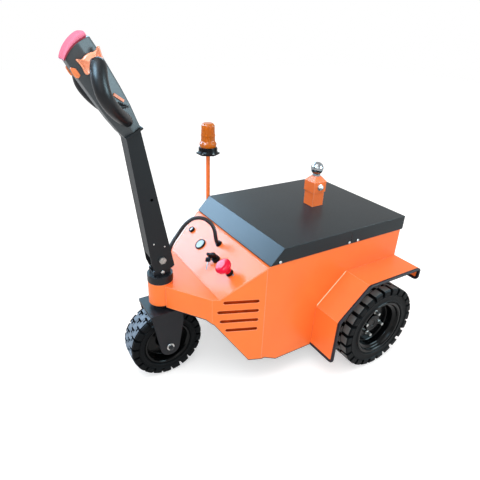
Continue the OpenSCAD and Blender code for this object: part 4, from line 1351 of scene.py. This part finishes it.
CAD_FINISHES: tuple[tuple[Finish, str], ...] = (
    (Finishes.ORANGE_COAT, "body_tub nose_shell control_panel steering_tube fenders hitch_post hitch_sleeve"
                           " beacon_pole"),
    (Finishes.DARK_COAT, "lid"),
    (Finishes.BLACK_COAT, "belly_pan chassis_rails battery_block transaxle drive_motor fork turntable_disc"
                          " clevis"),
    (Finishes.ARM_COAT, "tiller_arm arm_cover"),
    (Finishes.BOLT_STEEL, "pivot_bolt"),
    (Finishes.BLACK_PLASTIC, "cable_glands"),
    (Finishes.ORANGE_PLASTIC, "head_buttons"),
)


def dress_solids() -> None:
    """Gives each solid that stays in sight its finish."""
    for finish, names in CAD_FINISHES:
        for name in names.split():
            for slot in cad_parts[name].material_slots:
                slot.material = finish.material()


# Studio

class Sees(Enum):
    """What a light card reaches."""

    ALL = "all"
    GLOSS_ONLY = "gloss"


@dataclass(frozen=True)
class LightCard:
    """A square soft light: the way to it from the tug, its distance, size, power, colour and reach."""

    name: str
    towards: Vector
    distance: float
    size: float
    power: float
    colour: Vector = (1, 1, 1)
    sees: Sees = Sees.ALL

    def build(self) -> None:
        """Hangs the light so that it faces the tug's middle."""
        light = bpy.data.lights.new(self.name, "AREA")
        light.shape, light.size = "SQUARE", self.size
        light.energy, light.color = self.power, self.colour
        card = put_in_scene(self.name, light)
        back = unit(np.array(self.towards, float))
        side = unit(np.cross((0, 0, 1) if abs(back[2]) < 0.95 else (0, 1, 0), back))
        matrix = np.eye(4)
        matrix[:3, :3] = np.column_stack([side, np.cross(back, side), back])
        matrix[:3, 3] = np.array([0, 0, 0.4]) + back * self.distance
        card.matrix_world = Matrix(matrix.tolist())
        card.visible_camera = False
        if self.sees is Sees.GLOSS_ONLY:
            card.visible_diffuse = False


LIGHTS: tuple[LightCard, ...] = (
    LightCard("top_card", (0.3, 0.15, 1.0), 3.2, 2.2, 40),
    LightCard("key_card", (0.46, 0.74, 0.5), 3.2, 2.0, 26),
    LightCard("sky_card", (-0.13, -0.81, 0.57), 2.9, 1.3, 50, (0.4, 0.75, 1.0), Sees.GLOSS_ONLY),
    LightCard("blue_back_card", (0.4, -0.775, 0.485), 3.0, 1.3, 142, (0.45, 0.72, 1.0), Sees.GLOSS_ONLY),
    LightCard("head_card", (-0.613, 0.676, 0.409), 2.885, 1.3, 170, (0.6, 0.88, 1.0), Sees.GLOSS_ONLY),
    LightCard("grip_card", (0.667, 0.123, 0.735), 3.6, 1.5, 360, (0.5, 0.78, 1.0), Sees.GLOSS_ONLY),
)


@dataclass
class Studio:
    """Floor, world, lights and the camera at the photograph's place."""

    eye: Vector = (0.77523, 1.18308, 1.17283)
    azimuth: float = 147.83
    elevation: float = 26.73
    roll: float = 2.23
    lens: float = 31.21
    sensor: float = 36.0
    shift: tuple[float, float] = (0.00133, -0.00127)
    world_light: float = 0.82
    floor_half: float = 12000.0
    floor_glow: float = 0.45

    def camera(self) -> None:
        """The camera looks back along (sin a cos e, -cos a cos e, sin e), rolled about that way."""
        a, e, r = np.radians([self.azimuth, self.elevation, self.roll])
        back = np.array([np.sin(a) * np.cos(e), -np.cos(a) * np.cos(e), np.sin(e)])
        right = np.array([np.cos(a), np.sin(a), 0])
        up = np.cross(back, right)
        matrix = np.eye(4)
        matrix[:3, 0] = right * np.cos(r) + up * np.sin(r)
        matrix[:3, 1] = up * np.cos(r) - right * np.sin(r)
        matrix[:3, 2], matrix[:3, 3] = back, self.eye
        data = bpy.data.cameras.new("camera")
        data.sensor_width, data.lens = self.sensor, self.lens
        data.shift_x, data.shift_y = self.shift
        data.clip_start, data.clip_end = 0.01, 100
        camera = put_in_scene("camera", data)
        camera.matrix_world = Matrix(matrix.tolist())
        bpy.context.scene.camera = camera

    def seen_rays(self, tree: bpy.types.NodeTree) -> bpy.types.NodeSocket:
        """1 on camera, glossy and transmission rays, and 0 on the rays that light other things.

        Args:
            tree: the nodes to add to.

        Returns:
            The socket that gives it.
        """
        path = add(tree, "LightPath").outputs
        seen = add(tree, "Math", {0: path["Is Camera Ray"], 1: path["Is Glossy Ray"]}, operation="MAXIMUM")
        seen = add(tree, "Math", {0: seen.outputs[0], 1: path["Is Transmission Ray"]}, operation="MAXIMUM")
        return seen.outputs[0]

    def world(self) -> None:
        """White where it is seen, a little lower where it lights."""
        world = bpy.data.worlds.new("studio")
        tree = empty_nodes(world)
        strength = add(tree, "MapRange", {"Value": self.seen_rays(tree), "To Min": self.world_light,
                                          "To Max": 1.0})
        light = add(tree, "Background", {"Color": (1, 1, 1, 1), "Strength": strength.outputs["Result"]})
        add(tree, "OutputWorld", {"Surface": light.outputs[0]})
        bpy.context.scene.world = world

    def floor(self) -> None:
        """A wide pale floor that shows part of its own white and keeps a soft shadow."""
        mesh = bpy.data.meshes.new("floor")
        corners = rectangle(-self.floor_half, -self.floor_half, self.floor_half, self.floor_half) * MM
        mesh.from_pydata([(x, y, 0.0) for x, y in corners.tolist()], [], [(0, 1, 2, 3)])
        made = bpy.data.materials.new("pale_floor")
        tree = empty_nodes(made)
        matt = add(tree, "BsdfDiffuse", {"Color": (0.8, 0.8, 0.8, 1)})
        glow = add(tree, "Emission", {"Color": (1, 1, 1, 1), "Strength": self.floor_glow})
        both = add(tree, "AddShader", {0: matt.outputs[0], 1: glow.outputs[0]})
        mixed = add(tree, "MixShader", {0: self.seen_rays(tree), 1: matt.outputs[0], 2: both.outputs[0]})
        add(tree, "OutputMaterial", {"Surface": mixed.outputs[0]})
        mesh.materials.append(made)
        put_in_scene("floor", mesh)

    def build(self) -> None:
        """Sets the view, the camera, the floor and the lights."""
        bpy.context.scene.view_settings.view_transform = "Standard"
        self.camera()
        self.world()
        self.floor()
        for card in LIGHTS:
            card.build()


def main() -> None:
    """Builds the studio and every dressed piece, in order."""
    logging.basicConfig(level=logging.INFO, format="%(message)s")
    Studio().build()
    dress_solids()
    head = Head(leaning((788.2, 0, 903.5), 28.3))
    for part in (Panel(), RearWheels(), FrontWheel(), FenderTrim(), BodyFixings(), VentTrays(), Hitch(),
                 Beacon(), ArmFixings(), head):
        part.build()


if __name__ == "__main__":
    main()
